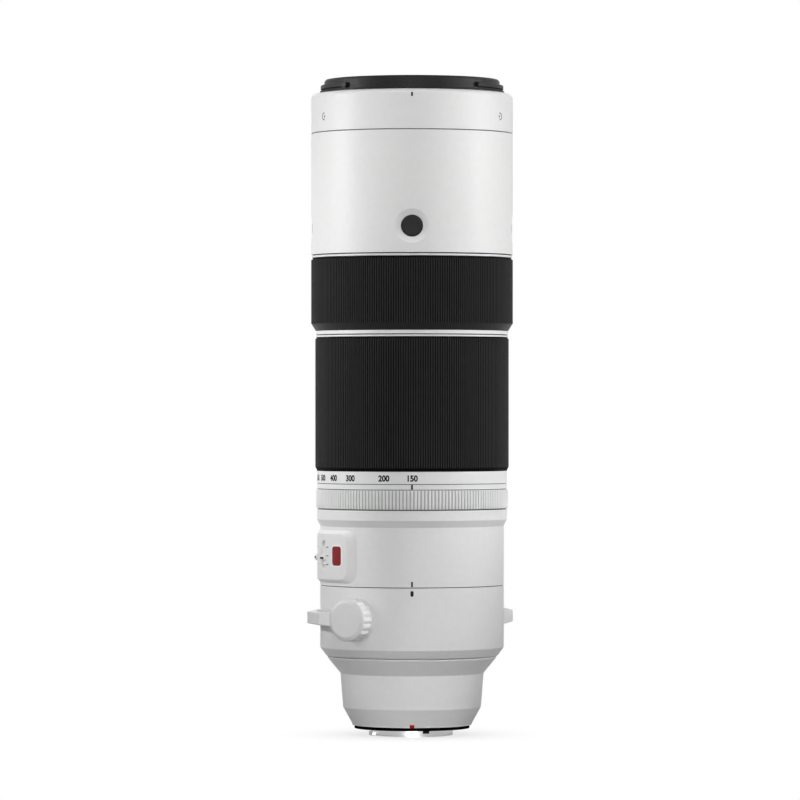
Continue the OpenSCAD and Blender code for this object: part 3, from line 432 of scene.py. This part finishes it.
def carved(mesh, *cutters):
    """Takes the cutters away from the mesh with exact Booleans."""
    data = bpy.data.meshes.new("carved")
    mesh.to_mesh(data)
    mesh.free()
    block = bpy.data.objects.new("carved", data)
    bpy.context.scene.collection.objects.link(block)
    tools = []
    for cutter in cutters:
        shape = bpy.data.meshes.new("cutter")
        cutter.to_mesh(shape)
        cutter.free()
        tool = bpy.data.objects.new("cutter", shape)
        bpy.context.scene.collection.objects.link(tool)
        cut = block.modifiers.new("cut", "BOOLEAN")
        cut.operation = "DIFFERENCE"
        cut.solver = "EXACT"
        cut.object = tool
        tools.append(tool)
    bpy.context.view_layer.update()
    result = block.evaluated_get(bpy.context.evaluated_depsgraph_get()).to_mesh()
    out = bmesh.new()
    out.from_mesh(result)
    for gone in (block, *tools):
        shape = gone.data
        bpy.data.objects.remove(gone)
        bpy.data.meshes.remove(shape)
    return cleaned(out)


print("front of the barrel faces", [round(c, 3) for c in facing(0, 0, 0).to_3x3() @ Vector((0, 0, 1))])

# %% Front barrel
FRONT_R = 49
BUTTON_Z = 242.2


def dish_cutter(phi):
    """A bent cone with the button's hole below it."""
    cutter = turned([
        (0, 43.9), (5.25, 43.9), (5.25, 48.1), (5.33, 48.22), (5.5, 48.28), (5.75, 48.26), (6.3, 48.4),
        (8.3, 49.0), (9.3, 49.3), (9.3, 52), (0, 52)
    ], 96, closed=False)
    for point in cutter.verts:
        point.co.z -= FRONT_R * MM - math.sqrt((FRONT_R * MM) ** 2 - point.co.x ** 2)
    bmesh.ops.transform(cutter, matrix=facing(phi, 0, BUTTON_Z), verts=cutter.verts)
    return cutter


barrel = eased(turned([
    (43.35, 228.1), (48.6, 228.1), (48.6, 229.05), (47.8, 229.05), (47.8, 229.6), (FRONT_R, 229.6),
    (FRONT_R, 288.17), (48.2, 288.17), (48.2, 291.4), (46.6, 291.4), (46.6, 288.4), (43.35, 288.4),
    (43.35, 284.4), (47, 284.4), (47, 233), (43.35, 233)
]), 0.14, 40)
barrel = carved(barrel, *[dish_cutter(phi) for phi in (0, 90, 180, 270)])
fitted("front_barrel_shell", barrel, "barrel", "white_paint", white_paint, "front_barrel", smooth=13)

# %% [markdown]
# ## Focus buttons
# A button is a small moulded cap with a rounded rim and a face that is slightly hollow for the fingertip.
# It is turned about its own axis, then laid into its dish. Each one rides on its own body, because each
# can be pressed.

# %% Buttons
for side, phi in (("front", 0), ("left", 90), ("back", 180), ("right", 270)):
    cap = turned([
        (0, 45.0), (5.0, 45.0), (5.0, 47.9), (4.97, 48.1), (4.88, 48.3), (4.7, 48.45), (4.4, 48.5),
        (3.4, 48.43), (2.2, 48.36), (1.0, 48.32), (0, 48.31)
    ], 96, closed=False)
    bmesh.ops.transform(cap, matrix=facing(phi, 0, BUTTON_Z), verts=cap.verts)
    button = "button_" + side
    fitted("button_cap_" + side, cap, button, "black_plastic", black_plastic, button, smooth=50)

# %% [markdown]
# ## Ribbed grips
# A ribbed sleeve could be a cylinder with a bump map, but the ribs show in the outline and in the
# highlights. So one rib is drawn, pulled up in a few rows, and spun with duplicates round the axis. The
# inner wall comes from pulling both open rims inwards and bridging them.

# %% Ribbed sleeve
def points_of(grown):
    """The points among the things that an operator made."""
    return [v for v in grown if isinstance(v, bmesh.types.BMVert)]


def round_the_axis(point):
    """The angle of a point from the front, for sorting."""
    return math.atan2(point.co.x, -point.co.y)


def ribbed_sleeve(count, wave, rows, seat):
    """Ribs from a wave of (share of the pitch, share of the depth) and rows of (height, valley, crest)."""
    mesh = bmesh.new()
    pitch = math.tau / count
    start = -math.pi / 2 - pitch / 2

    def spot(share, depth, row):
        height, valley, crest = row
        reach = (valley + (crest - valley) * depth) * MM
        angle = start + share * pitch
        return reach * math.cos(angle), reach * math.sin(angle), height * MM

    line = [mesh.verts.new(spot(share, depth, rows[0])) for share, depth in wave]
    edges = [mesh.edges.new(pair) for pair in zip(line, line[1:])]
    for row in rows[1:]:
        grown = bmesh.ops.extrude_edge_only(mesh, edges=edges)["geom"]
        edges = [e for e in grown if isinstance(e, bmesh.types.BMEdge)]
        for point, (share, depth) in zip(sorted(points_of(grown), key=round_the_axis), wave):
            point.co = spot(share, depth, row)
    bmesh.ops.spin(
        mesh, geom=mesh.verts[:] + mesh.edges[:] + mesh.faces[:], cent=(0, 0, 0), axis=(0, 0, 1),
        angle=math.tau * (count - 1) / count, steps=count - 1, use_duplicate=True
    )
    bmesh.ops.remove_doubles(mesh, verts=mesh.verts, dist=0.002 * MM)
    rims = bmesh.ops.extrude_edge_only(mesh, edges=[e for e in mesh.edges if e.is_boundary])["geom"]
    for point in points_of(rims):
        point.co.xy = point.co.xy.normalized() * seat * MM
    bmesh.ops.bridge_loops(mesh, edges=[e for e in mesh.edges if e.is_boundary])
    return cleaned(mesh)


RIB = [(0, 0), (0.2, 0), (0.25, 0.8), (0.31, 1), (0.69, 1), (0.75, 0.8), (0.8, 0), (1, 0)]
print("a rib has", len(RIB) - 1, "strips")

# %% Focus grip
focus_rows = [
    (196.1, 48.55, 48.9), (196.25, 48.55, 49.0), (226.9, 48.55, 49.0),
    (227.15, 48.55, 48.9), (227.3, 48.5, 48.6), (227.4, 48.25, 48.25), (227.95, 48.25, 48.25)
]
focus_grip = ribbed_sleeve(260, RIB, focus_rows, 47.5)
fitted("focus_grip", focus_grip, "focus_ring", "black_rubber", focus_grip_rubber, "focus_rubber", smooth=60)

# %% Zoom grip
zoom_rows = [
    (124.8, 46.1, 46.1), (125.9, 46.45, 46.5), (126.2, 46.55, 46.7), (126.5, 46.55, 46.9),
    (126.9, 46.55, 47.0), (188.6, 46.55, 47.0), (188.85, 46.55, 46.85), (189.05, 46.5, 46.5),
    (189.2, 46.35, 46.35), (189.58, 46.35, 46.35)
]
zoom_grip = ribbed_sleeve(248, RIB, zoom_rows, 45.5)
fitted("zoom_grip", zoom_grip, "zoom_ring", "black_rubber", zoom_grip_rubber, "zoom_rubber", smooth=60)

# %% Aperture ring
FLUTE = [
    (0, 0), (0.12, 0), (0.19, 0.7), (0.25, 0.92), (0.34, 1),
    (0.66, 1), (0.75, 0.92), (0.81, 0.7), (0.88, 0), (1, 0)
]
flute_rows = [
    (106.56, 45.8, 45.9), (106.7, 45.8, 46.1), (106.85, 45.8, 46.4), (107.1, 45.8, 46.55),
    (115.3, 45.8, 46.55), (115.55, 45.85, 46.45), (115.75, 46.0, 46.3), (115.94, 46.0, 46.1)
]
flutes = ribbed_sleeve(170, FLUTE, flute_rows, 43.4)
fitted("aperture_grip", flutes, "aperture_ring", "white_paint", shaded_fluted_paint, "aperture_ring", smooth=60)

# %% [markdown]
# ## Painted rings
# Between the grips lie plain painted rings. They are short turned tubes, and the dark lines are the gaps
# between them. A gap of a third of a millimetre between white walls would fill with light that bounces
# from wall to wall, so a black ring is sunk at the bottom of each one. It stands partly for the dark
# anodised tube underneath on the real lens, and partly for painted shade deep in the gap.

# %% Rings between the grips
BAND_R = 46.1
focus_skirt = eased(turned([
    (43.4, 192.7), (46.8, 192.7), (48.9, 196.1), (47.45, 196.1), (47.45, 227.95), (43.4, 227.95)
]), 0.16, 30)
fitted("focus_skirt", focus_skirt, "focus_ring", "black_plastic", black_plastic, "focus_ring")
spacer = eased(turned([(43.35, 190.88), (46.7, 190.88), (46.7, 192.58), (43.35, 192.58)]), 0.1, 40)
fitted("spacer_band", spacer, "barrel", "white_paint", white_paint, "spacer_ring")
zoom_band = eased(turned([
    (43.4, 118.91), (BAND_R, 118.91), (BAND_R, 124.8), (45.45, 124.8), (45.45, 189.58), (46.7, 189.58),
    (46.7, 190.4), (43.4, 190.4), (43.4, 183.9), (43.75, 183.9), (43.75, 130.8), (43.4, 130.8)
]), 0.1, 40)
fitted("zoom_band", zoom_band, "zoom_ring", "white_paint", white_paint, "zoom_ring")
index_band = eased(turned([
    (43.35, 116.0), (44.8, 116.0), (44.8, 116.24), (BAND_R, 116.24), (BAND_R, 118.59), (44.8, 118.59),
    (44.8, 118.85), (43.35, 118.85)
]), 0.08, 40)
fitted("index_band", index_band, "barrel", "white_paint", white_paint, "index_ring")

# %% Dark gaps
GAP_DEPTH = 0.8
GAP_PLAY = 0.04


def gap_ring(name, radius, low, high):
    """A black ring sunk in the gap between two painted rings: the dark tube below, and painted shade."""
    inner = radius - GAP_DEPTH
    foot = low + GAP_PLAY
    head = high - GAP_PLAY
    ring = turned([(inner, foot), (radius, foot), (radius, head), (inner, head)])
    return fitted(name, ring, "barrel", "black_alloy", black_alloy)


# The black rings darken the gaps: partly the dark tube below, partly painted shade.
gap_ring("cap_gap", 48.5, 288.13, 288.61)
gap_ring("focus_gap", 48.2, 229.01, 229.64)
gap_ring("spacer_gap", 46.2, 190.4, 190.92)
gap_ring("zoom_gap", 45.6, 118.55, 118.91)
gap_ring("index_gap", 45.5, 115.94, 116.28)
gap_ring("aperture_gap", 45.5, 106.12, 106.56)
gap_ring("collar_gap", 44.0, 69.12, 69.54)

# %% [markdown]
# ## Main barrel and rear barrel
# The main barrel widens in a short cone to the rings above it, and carries the switch panel. The rear
# barrel narrows in a cone below the tripod collar and runs down to the mount. Both are one outline each
# on the lathe.

# %% Main and rear barrel
MAIN_R = 44.6
main_shell = eased(turned([
    (38, 35), (39.9, 35), (39.9, 69.2), (43.2, 69.2), (43.2, 69.5), (MAIN_R, 69.5), (MAIN_R, 98.0),
    (BAND_R, 101.3), (BAND_R, 106.16), (44.8, 106.16), (44.8, 106.5), (43.35, 106.5), (43.35, 72), (38, 72)
]), 0.15, 20, 3)
fitted("main_shell", main_shell, "barrel", "white_paint", white_paint, "main_barrel", smooth=24)
rear_shell = eased(turned([
    (26.65, 1.44), (29.0, 1.44), (29.0, 2.0), (33.5, 10.2), (34.8, 26.6), (41.0, 34.2), (41.0, 34.85),
    (37.15, 34.85), (37.15, 32.6), (32.6, 26.4), (31.3, 11.0), (28.2, 6.0), (22, 6.0), (22, 1.8), (26.65, 1.8)
]), 0.25, 15, 3)
fitted("rear_shell", rear_shell, "barrel", "white_paint", white_paint, "rear_barrel", smooth=24)

# %% [markdown]
# ## Mount and light seal
# The bayonet is kept from the CAD model, because its tabs and screw seats have real dimensions. A copy of
# that solid gets its coplanar faces dissolved and its edges bevelled, which gives chrome the bright lines
# it needs. The black ring round it keeps dust and water out of the camera, with a soft rounded lip.

# %% Softened copies
def softened(node, width, limit=30):
    """A copy of a solid's mesh with its corners bevelled."""
    mesh = bmesh.new()
    mesh.from_mesh(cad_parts[node].data)
    bmesh.ops.remove_doubles(mesh, verts=mesh.verts, dist=0.001 * MM)
    bmesh.ops.dissolve_limit(mesh, angle_limit=math.radians(0.5), verts=mesh.verts, edges=mesh.edges)
    return eased(mesh, width, limit)


mount = softened("lens_mount", 0.12)
fitted("bayonet", mount, "barrel", "chromed_mount", chromed_mount, "lens_mount")
seal = turned([
    (26.65, -0.15), (27.75, -0.15), (27.9, -0.08), (27.95, 0.08), (27.95, 1.25), (27.9, 1.4),
    (27.75, 1.44), (26.65, 1.44)
])
fitted("dust_seal", seal, "barrel", "black_rubber", seal_rubber, "mount_seal", smooth=50)

# %% [markdown]
# ## Tripod collar
# The collar turns round the main barrel so the camera can be held upright or level. It is a turned ring
# with a chamfer below, a boss for the foot, a round seat for the clamp knob and a strap lug on each side.
# The lugs are loops: an outer and an inner outline are bridged to a flat frame and pulled up, then the
# edges are rounded.

# %% Rounded plates
CORNER_STEPS = 8
COLLAR_Z = 53.85


def rounded_plate(width, height, corner, thick, steps=CORNER_STEPS):
    """A flat plate in X and Y with round corners, from Z 0 up; millimetres."""
    mesh = bmesh.new()
    bmesh.ops.create_grid(mesh, x_segments=1, y_segments=1, size=0.5)
    bmesh.ops.scale(mesh, vec=(width * MM, height * MM, 1), verts=mesh.verts)
    bmesh.ops.bevel(
        mesh, geom=mesh.verts[:], offset=corner * 0.9999 * MM, offset_type="OFFSET", affect="VERTICES",
        segments=steps, profile=0.5, material=-1, clamp_overlap=True
    )
    top = bmesh.ops.extrude_face_region(mesh, geom=mesh.faces[:])["geom"]
    bmesh.ops.translate(mesh, vec=(0, 0, thick * MM), verts=points_of(top))
    return cleaned(mesh)


def strap_loop(phi):
    """A strap lug, drawn flat as two outlines and pulled up along the axis."""
    mesh = bmesh.new()
    frame_lines = []
    for outline in (
        [(-12.5, 41.4), (-9.2, 50.5), (9.2, 50.5), (12.5, 41.4)],
        [(-7.6, 42.2), (-6.6, 48.1), (6.6, 48.1), (7.6, 42.2)],
    ):
        points = [mesh.verts.new((x * MM, 0, r * MM)) for x, r in outline]
        frame_lines += [mesh.edges.new(pair) for pair in zip(points, points[1:] + points[:1])]
    bmesh.ops.bridge_loops(mesh, edges=frame_lines)
    upper = bmesh.ops.extrude_face_region(mesh, geom=mesh.faces[:])["geom"]
    raised = set(points_of(upper))
    for point in mesh.verts:
        half = 3.9 - math.tan(math.radians(10)) * (point.co.z / MM - MAIN_R)
        point.co.y = half * MM * (1 if point in raised else -1)
    cleaned(mesh)
    eased(mesh, 0.7, 25, 3)
    bmesh.ops.transform(mesh, matrix=facing(phi, 0, COLLAR_Z), verts=mesh.verts)
    return mesh


print("plates have corners of", CORNER_STEPS, "steps")

# %% Collar
KNOB_PHI = 36
collar = eased(turned([(40, 35.1), (41.6, 35.1), (MAIN_R, 39.2), (MAIN_R, 69.12), (40, 69.12)]), 0.35, 20, 3)
boss = eased(rounded_plate(34, 26, 5, 12), 0.5, 40)
bmesh.ops.transform(boss, matrix=facing(180, 40, COLLAR_Z), verts=boss.verts)
knob_seat = eased(turned([(0, 42.6), (9.4, 42.6), (9.4, 44.9), (0, 44.9)], 96, closed=False), 0.25, 40)
bmesh.ops.transform(knob_seat, matrix=facing(KNOB_PHI, 0, COLLAR_Z), verts=knob_seat.verts)
collar = joined(collar, boss, knob_seat, strap_loop(72), strap_loop(244))
fitted("collar_shell", collar, "tripod_collar", "white_paint", white_paint, "tripod_collar")
foot = softened("tripod_foot", 0.5)
fitted("foot_shell", foot, "tripod_collar", "white_paint", white_paint, "tripod_foot")

# %% [markdown]
# ## Clamp knob
# The knob has a flat face with a sloping shoulder, and a skirt of shallow flutes. The flutes could be cut
# one by one with Booleans, but the lathe mesh already has points all round, so they are pushed in along a
# soft wave. That keeps the highlights even from flute to flute.

# %% Knob
KNOB_BASE = 45.1
KNOB_FLUTES = 18
FLUTE_DEPTH = 0.085
FLUTE_FOOT = 1.6
knob = turned([
    (0, 0), (10.2, 0), (10.35, 0.15), (10.35, 0.8), (10.2, 0.95), (9.8, 1.0), (9.8, 1.55), (10.2, 1.75),
    (10.35, 1.95), (10.35, 4.0), (10.35, 6.6), (10.34, 7.1), (10.3, 7.4), (10.2, 7.75), (10.0, 8.1),
    (9.7, 8.36), (9.3, 8.58), (8.3, 9.0), (8.15, 9.06), (7.95, 9.08), (3, 9.08), (0, 9.08)
], 216, closed=False)
for point in knob.verts:
    wave = 0.5 + 0.5 * math.cos(KNOB_FLUTES * math.atan2(point.co.y, point.co.x))
    height = point.co.z / MM
    if FLUTE_FOOT < height < 8.2 and point.co.xy.length > 9.0 * MM:
        fade = min(1, (height - FLUTE_FOOT) / 0.3, max(0, (7.9 - height) / 0.7))
        point.co.xy *= 1 - FLUTE_DEPTH * (1 - wave) ** 2 * fade
shaft = turned([(0, -3.5), (2.5, -3.5), (2.5, 0.2), (0, 0.2)], 48, closed=False)
knob = joined(knob, shaft)
bmesh.ops.transform(knob, matrix=facing(KNOB_PHI, KNOB_BASE, COLLAR_Z), verts=knob.verts)
fitted("clamp_knob_cap", knob, "clamp_knob", "white_paint", white_paint, "clamp_knob", smooth=45)

# %% [markdown]
# ## Switch panel
# The panel is a raised pad that follows the barrel. It is easier to draw it flat, with round corners,
# sloping sides and two slots, then cut it into narrow strips and wrap it round the barrel. The switches
# are drawn the same way.

# %% Wrapping
def wrapped(mesh, radius, phi, height, slope=0.0):
    """Bends a flat mesh round the barrel: X runs round, Y along the surface, Z stands out of it."""
    tilt = math.radians(slope)
    for point in mesh.verts:
        x, y, out = point.co
        reach = radius * MM + y * math.sin(tilt) + out * math.cos(tilt)
        angle = math.radians(phi) - x / (radius * MM)
        rise = height * MM + y * math.cos(tilt) - out * math.sin(tilt)
        point.co = (-reach * math.sin(angle), -reach * math.cos(angle), rise)
    return cleaned(mesh)


def in_strips(mesh, width):
    """Cuts a flat mesh into upright strips, so it can bend."""
    reach = max(abs(v.co.x) for v in mesh.verts)
    count = math.ceil(reach / (width * MM))
    for i in range(-count, count + 1):
        everything = mesh.verts[:] + mesh.edges[:] + mesh.faces[:]
        bmesh.ops.bisect_plane(mesh, geom=everything, plane_co=(i * width * MM, 0, 0), plane_no=(1, 0, 0))
    return mesh


PANEL_R = 44.65
STRIP_WIDTH = 1.2
print("a strip of the panel turns", round(math.degrees(STRIP_WIDTH / PANEL_R), 1), "degrees")

# %% Panel
PANEL_PHI = 80
SWITCHES = (("limit_switch", 68), ("preset_switch", 91))
base_width, base_height = 67.6, 25.3
top_width, top_height = 57.2, 22.1
pad = rounded_plate(base_width, base_height, 5.2, 1.35, 10)
for point in pad.verts:
    if point.co.z > 0.5 * MM:
        point.co.x *= top_width / base_width
        point.co.y *= top_height / base_height
eased(pad, 0.14, 12)
slots = []
for _, phi in SWITCHES:
    slot = rounded_plate(5.8, 15, 2.9, 4)
    across = math.radians(PANEL_PHI - phi) * PANEL_R * MM
    bmesh.ops.translate(slot, vec=(across, 0.35 * MM, -1 * MM), verts=slot.verts)
    slots.append(slot)
pad = wrapped(in_strips(carved(pad, *slots), STRIP_WIDTH), PANEL_R, PANEL_PHI, 83.65)
fitted("panel_pad", pad, "barrel", "white_paint", white_paint, "switch_panel", smooth=20)

# %% Sliding switches
for name, phi in SWITCHES:
    plate = eased(rounded_plate(5.2, 9.2, 2.6, 1.1), 0.15, 40)
    grip = rounded_plate(3.6, 5.4, 1.6, 2.5)
    for point in grip.verts:
        if point.co.z > 1.5 * MM:
            point.co.x *= 0.72
            point.co.y *= 0.36
    eased(grip, 0.3, 20, 3)
    bmesh.ops.translate(grip, vec=(0, -1.1 * MM, 0.1 * MM), verts=grip.verts)
    slider = wrapped(joined(plate, grip), 44.7, phi, 84)
    fitted(name + "_slider", slider, name, "white_plastic", white_plastic, name, smooth=40)

# %% [markdown]
# ## Marks
# The marks are filled engravings. They are thin raised shapes here, a few hundredths of a millimetre
# proud, so they never flicker against the paint. Ticks are small plates wrapped on their ring. The zoom
# numbers start as a text curve, become a mesh, and are then bent round the zoom band.

# %% Ticks and dots
def tick(name, width, height, radius, phi, z, body, look, corner=0.1, slope=0.0, proud=0.04):
    """A small rounded plate on the barrel."""
    plate = rounded_plate(width, height, min(corner, width / 2, height / 2), proud)
    return fitted(name, wrapped(plate, radius - 0.005, phi, z, slope), body, "black_plastic", look)


tick("cap_tick", 0.85, 1.95, 48.95, 0, 304.95, "barrel", mark_black)
tick("index_tick", 0.9, 2.25, BAND_R, 0, 117.42, "barrel", mark_black)
tick("barrel_tick", 0.85, 2.5, MAIN_R, 0, 70.98, "barrel", mark_black)
tick("collar_dot", 1.5, 2.8, MAIN_R, 0, 66.5, "tripod_collar", mark_black, 0.75)
tick("mount_index", 2.2, 1.75, 29.05, 0, 2.25, "barrel", mark_red, 0.3, 20, 0.3)
tick("bayonet_stop", 3.0, 1.65, 19.7, -19.5, -1.0, "barrel", mark_black, 0.2, 0, 0.9)

# %% Zoom numbers
NUMBER_HEIGHT = 3.1
NUMBER_SQUEEZE = 0.92


def number(text, phi, weight):
    """A number of the zoom scale, bent round its band; the weight widens its strokes."""
    curve = bpy.data.curves.new("zoom_number", "FONT")
    curve.body = text
    curve.size = 1
    curve.align_x = "CENTER"
    curve.extrude = 0.01
    curve.offset = weight
    writing = bpy.data.objects.new("zoom_number", curve)
    bpy.context.scene.collection.objects.link(writing)
    bpy.context.view_layer.update()
    flat = writing.evaluated_get(bpy.context.evaluated_depsgraph_get()).to_mesh()
    mesh = bmesh.new()
    mesh.from_mesh(flat)
    bpy.data.objects.remove(writing)
    low = min(v.co.y for v in mesh.verts)
    high = max(v.co.y for v in mesh.verts)
    grow = NUMBER_HEIGHT / (high - low)
    for point in mesh.verts:
        point.co.x *= NUMBER_SQUEEZE * grow * MM
        point.co.y = (point.co.y - (low + high) / 2) * grow * MM
        point.co.z = 0.02 * MM * (1 if point.co.z > 0 else -0.5)
    wrapped(mesh, BAND_R, phi, 121.6)
    return fitted("zoom_number_" + text, mesh, "zoom_ring", "black_plastic", mark_black)


for text, phi in (("150", 0), ("200", 17), ("300", 40), ("400", 55), ("500", 68.6)):
    number(text, phi, 0.042)
# The six breaks up with wider strokes, so this number is a little lighter.
number("600", 80, 0.03)

# %% [markdown]
# ## Badge and small signs
# The panel has a small plain plate, dark red in a thin pale frame. Beside the slots are short label bars,
# one for each position of a switch, and each switch has a black line across its grip. Two small grey
# signs on the cap show where the hood goes on and locks: an open ring with a dot.

# %% Badge and labels
PANEL_TOP_R = 46
BADGE_PLACE = (PANEL_TOP_R - 0.01, 52, 84.1)
rim = eased(rounded_plate(8.4, 10.8, 2.3, 0.16), 0.06, 40)
fitted("badge_rim", wrapped(in_strips(rim, 1), *BADGE_PLACE), "barrel", "white_plastic", pale_enamel)
plate = eased(rounded_plate(6.9, 9.3, 1.6, 0.2), 0.06, 40)
fitted("badge_plate", wrapped(in_strips(plate, 1), *BADGE_PLACE), "barrel", "black_plastic", badge_red)
for row, z in enumerate((79.8, 84, 88.2)):
    tick("limit_label_" + str(row), 2.2, 0.55, PANEL_TOP_R, 62.4, z, "barrel", mark_grey, 0.1)
    tick("preset_label_" + str(row), 2.2, 0.55, PANEL_TOP_R, 82.8, z, "barrel", mark_grey, 0.1)
for name, phi in SWITCHES:
    tick(name + "_line", 2.9, 0.95, 46.4, phi, 82.9, name, mark_black, 0.2, 0, 0.94)

# %% Hood signs
for side, phi in (("left", 60), ("right", -60)):
    inward = math.copysign(1, phi)
    ring = turned([(1.25, 0), (1.85, 0), (1.85, 0.04), (1.25, 0.04)], 48)
    gap = [f for f in ring.faces if f.calc_center_median().x * inward > 0.6 * MM]
    bmesh.ops.delete(ring, geom=gap, context="FACES")
    bmesh.ops.holes_fill(ring, edges=[e for e in ring.edges if e.is_boundary], sides=0)
    spot = turned([(0, 0), (0.6, 0), (0.6, 0.04), (0, 0.04)], 24, closed=False)
    bmesh.ops.translate(spot, vec=(0.6 * inward * MM, 0, 0), verts=spot.verts)
    sign = wrapped(joined(ring, spot), 48.945, phi, 295.6)
    fitted("hood_sign_" + side, sign, "barrel", "black_plastic", mark_grey)

# %% [markdown]
# ## Floor and light
# The lens stands on a white sweep that is burnt out to pure white in the picture. The floor is white only
# for what the camera, the chrome and the glass see of it, and an occlusion node darkens it where the lens
# covers it, so a contact shadow stays. For the light that bounces off it, it is a grey, so the cones that
# face down stay darker than the walls. One large lamp on each side would light the barrel evenly from end
# to end. Small softboxes with narrow grids, each aimed at one height, give the bright bands at both sides
# their own strength at every ring. Three more in front lift the calm grey in the middle, and one behind
# lights the back.

# %% White where it is seen
def seen_white(tree, plain, kind, output):
    """White for camera, glossy and transmission rays, and the plain shader for all others."""
    nodes = tree.nodes
    links = tree.links
    path = nodes.new("ShaderNodeLightPath")
    first = nodes.new("ShaderNodeMath")
    first.operation = "MAXIMUM"
    links.new(path.outputs["Is Camera Ray"], first.inputs[0])
    links.new(path.outputs["Is Glossy Ray"], first.inputs[1])
    second = nodes.new("ShaderNodeMath")
    second.operation = "MAXIMUM"
    links.new(first.outputs["Value"], second.inputs[0])
    links.new(path.outputs["Is Transmission Ray"], second.inputs[1])
    bright = nodes.new(kind)
    bright.inputs["Strength"].default_value = 1
    bright.inputs["Color"].default_value = (1, 1, 1, 1)
    mix = nodes.new("ShaderNodeMixShader")
    links.new(second.outputs["Value"], mix.inputs["Fac"])
    links.new(plain.outputs[0], mix.inputs[1])
    links.new(bright.outputs[0], mix.inputs[2])
    links.new(mix.outputs[0], nodes[output].inputs["Surface"])


world = bpy.data.worlds.new("studio")
bpy.context.scene.world = world
world.use_nodes = True
ambient = world.node_tree.nodes["Background"]
ambient.inputs["Color"].default_value = (1, 1, 1, 1)
ambient.inputs["Strength"].default_value = 0.0
seen_white(world.node_tree, ambient, "ShaderNodeBackground", "World Output")
print("room light", ambient.inputs["Strength"].default_value)

# %% Contact shadow
def contact_shade(tree):
    """Darkens the seen floor where something covers it: deep in reflections, faint in the picture."""
    nodes = tree.nodes
    links = tree.links
    covered = nodes.new("ShaderNodeAmbientOcclusion")
    covered.inputs["Distance"].default_value = 0.05
    deep = nodes.new("ShaderNodeMapRange")
    deep.inputs["From Min"].default_value = 0.35
    deep.inputs["From Max"].default_value = 0.95
    deep.inputs["To Min"].default_value = 0.25
    links.new(covered.outputs["AO"], deep.inputs["Value"])
    pale = nodes.new("ShaderNodeMapRange")
    pale.interpolation_type = "SMOOTHSTEP"
    pale.inputs["From Min"].default_value = 0.2
    pale.inputs["From Max"].default_value = 0.9
    pale.inputs["To Min"].default_value = 0.8
    links.new(covered.outputs["AO"], pale.inputs["Value"])
    faint = nodes.new("ShaderNodeMath")
    faint.operation = "MULTIPLY"
    links.new(pale.outputs["Result"], faint.inputs[0])
    links.new(nodes["Light Path"].outputs["Is Camera Ray"], faint.inputs[1])
    kept = nodes.new("ShaderNodeMath")
    kept.operation = "MAXIMUM"
    links.new(deep.outputs["Result"], kept.inputs[0])
    links.new(faint.outputs["Value"], kept.inputs[1])
    links.new(kept.outputs["Value"], nodes["Emission"].inputs["Strength"])


print("the floor's shade comes from", contact_shade.__name__)

# %% Floor
sweep = bmesh.new()
bmesh.ops.create_grid(sweep, x_segments=1, y_segments=1, size=0.4)
bmesh.ops.translate(sweep, vec=(0, 0, solids_low[2]), verts=sweep.verts)
floor_mesh = bpy.data.meshes.new("studio_floor")
sweep.to_mesh(floor_mesh)
sweep.free()
studio_floor = bpy.data.objects.new("studio_floor", floor_mesh)
bpy.context.scene.collection.objects.link(studio_floor)
floor_white = finish("floor_white", (0.24, 0.24, 0.24), (0.26, 0.26, 0.26), 60, (0.7, 0.8), 2, 0.01)
floor_tree = floor_white.node_tree
seen_white(floor_tree, floor_tree.nodes["Principled BSDF"], "ShaderNodeEmission", "Material Output")
contact_shade(floor_tree)
floor_mesh.materials.append(floor_white)
print("floor at", round(solids_low[2] / MM, 2), "mm")

# %% Softboxes
def softbox(name, turn, distance, height, aim, size, power, spread):
    """A lamp with a grid, turned round the lens from the camera's side; degrees, metres and watts."""
    data = bpy.data.lights.new(name, "AREA")
    data.shape = "RECTANGLE"
    data.size, data.size_y = size
    data.energy = power
    data.spread = math.radians(spread)
    lamp = bpy.data.objects.new(name, data)
    angle = math.radians(turn)
    lamp.location = (distance * math.sin(angle), -distance * math.cos(angle), height)
    lamp.rotation_euler = (Vector((0, 0, aim)) - lamp.location).to_track_quat("-Z", "Y").to_euler()
    bpy.context.scene.collection.objects.link(lamp)
    return lamp


STRIP = (0.25, 0.1)
PANEL = (0.25, 0.25)
NEAR = 1.0
FAR = 1.5
NARROW = 15
softbox("left_rim", -85, NEAR, 0.42, 0.3, STRIP, 0.078, NARROW)
softbox("left_waist", -85, NEAR, 0.32, 0.2, STRIP, 0.036, NARROW)
softbox("left_high", -105, NEAR, 0.57, 0.12, STRIP, 0.095, NARROW)
softbox("left_key", -70, NEAR, 0.55, 0.085, STRIP, 0.010, 12)
softbox("right_side", 60, NEAR, 0.42, 0.3, STRIP, 0.024, NARROW)
softbox("right_rim", 85, NEAR, 0.42, 0.3, STRIP, 0.060, NARROW)
softbox("right_waist", 85, NEAR, 0.32, 0.2, STRIP, 0.009, NARROW)
softbox("right_high", 85, NEAR, 0.57, 0.12, STRIP, 0.105, NARROW)
softbox("front_low", 0, FAR, 0.1, 0.03, PANEL, 0.100, 20)
softbox("front_dip", 0, FAR, 0.05, -0.06, STRIP, 0.034, 12)
softbox("front_high", 0, FAR, 1.0, 0.3, PANEL, 0.310, 25)
softbox("back_fill", 180, FAR, 0.6, 0.16, PANEL, 0.35, 60)
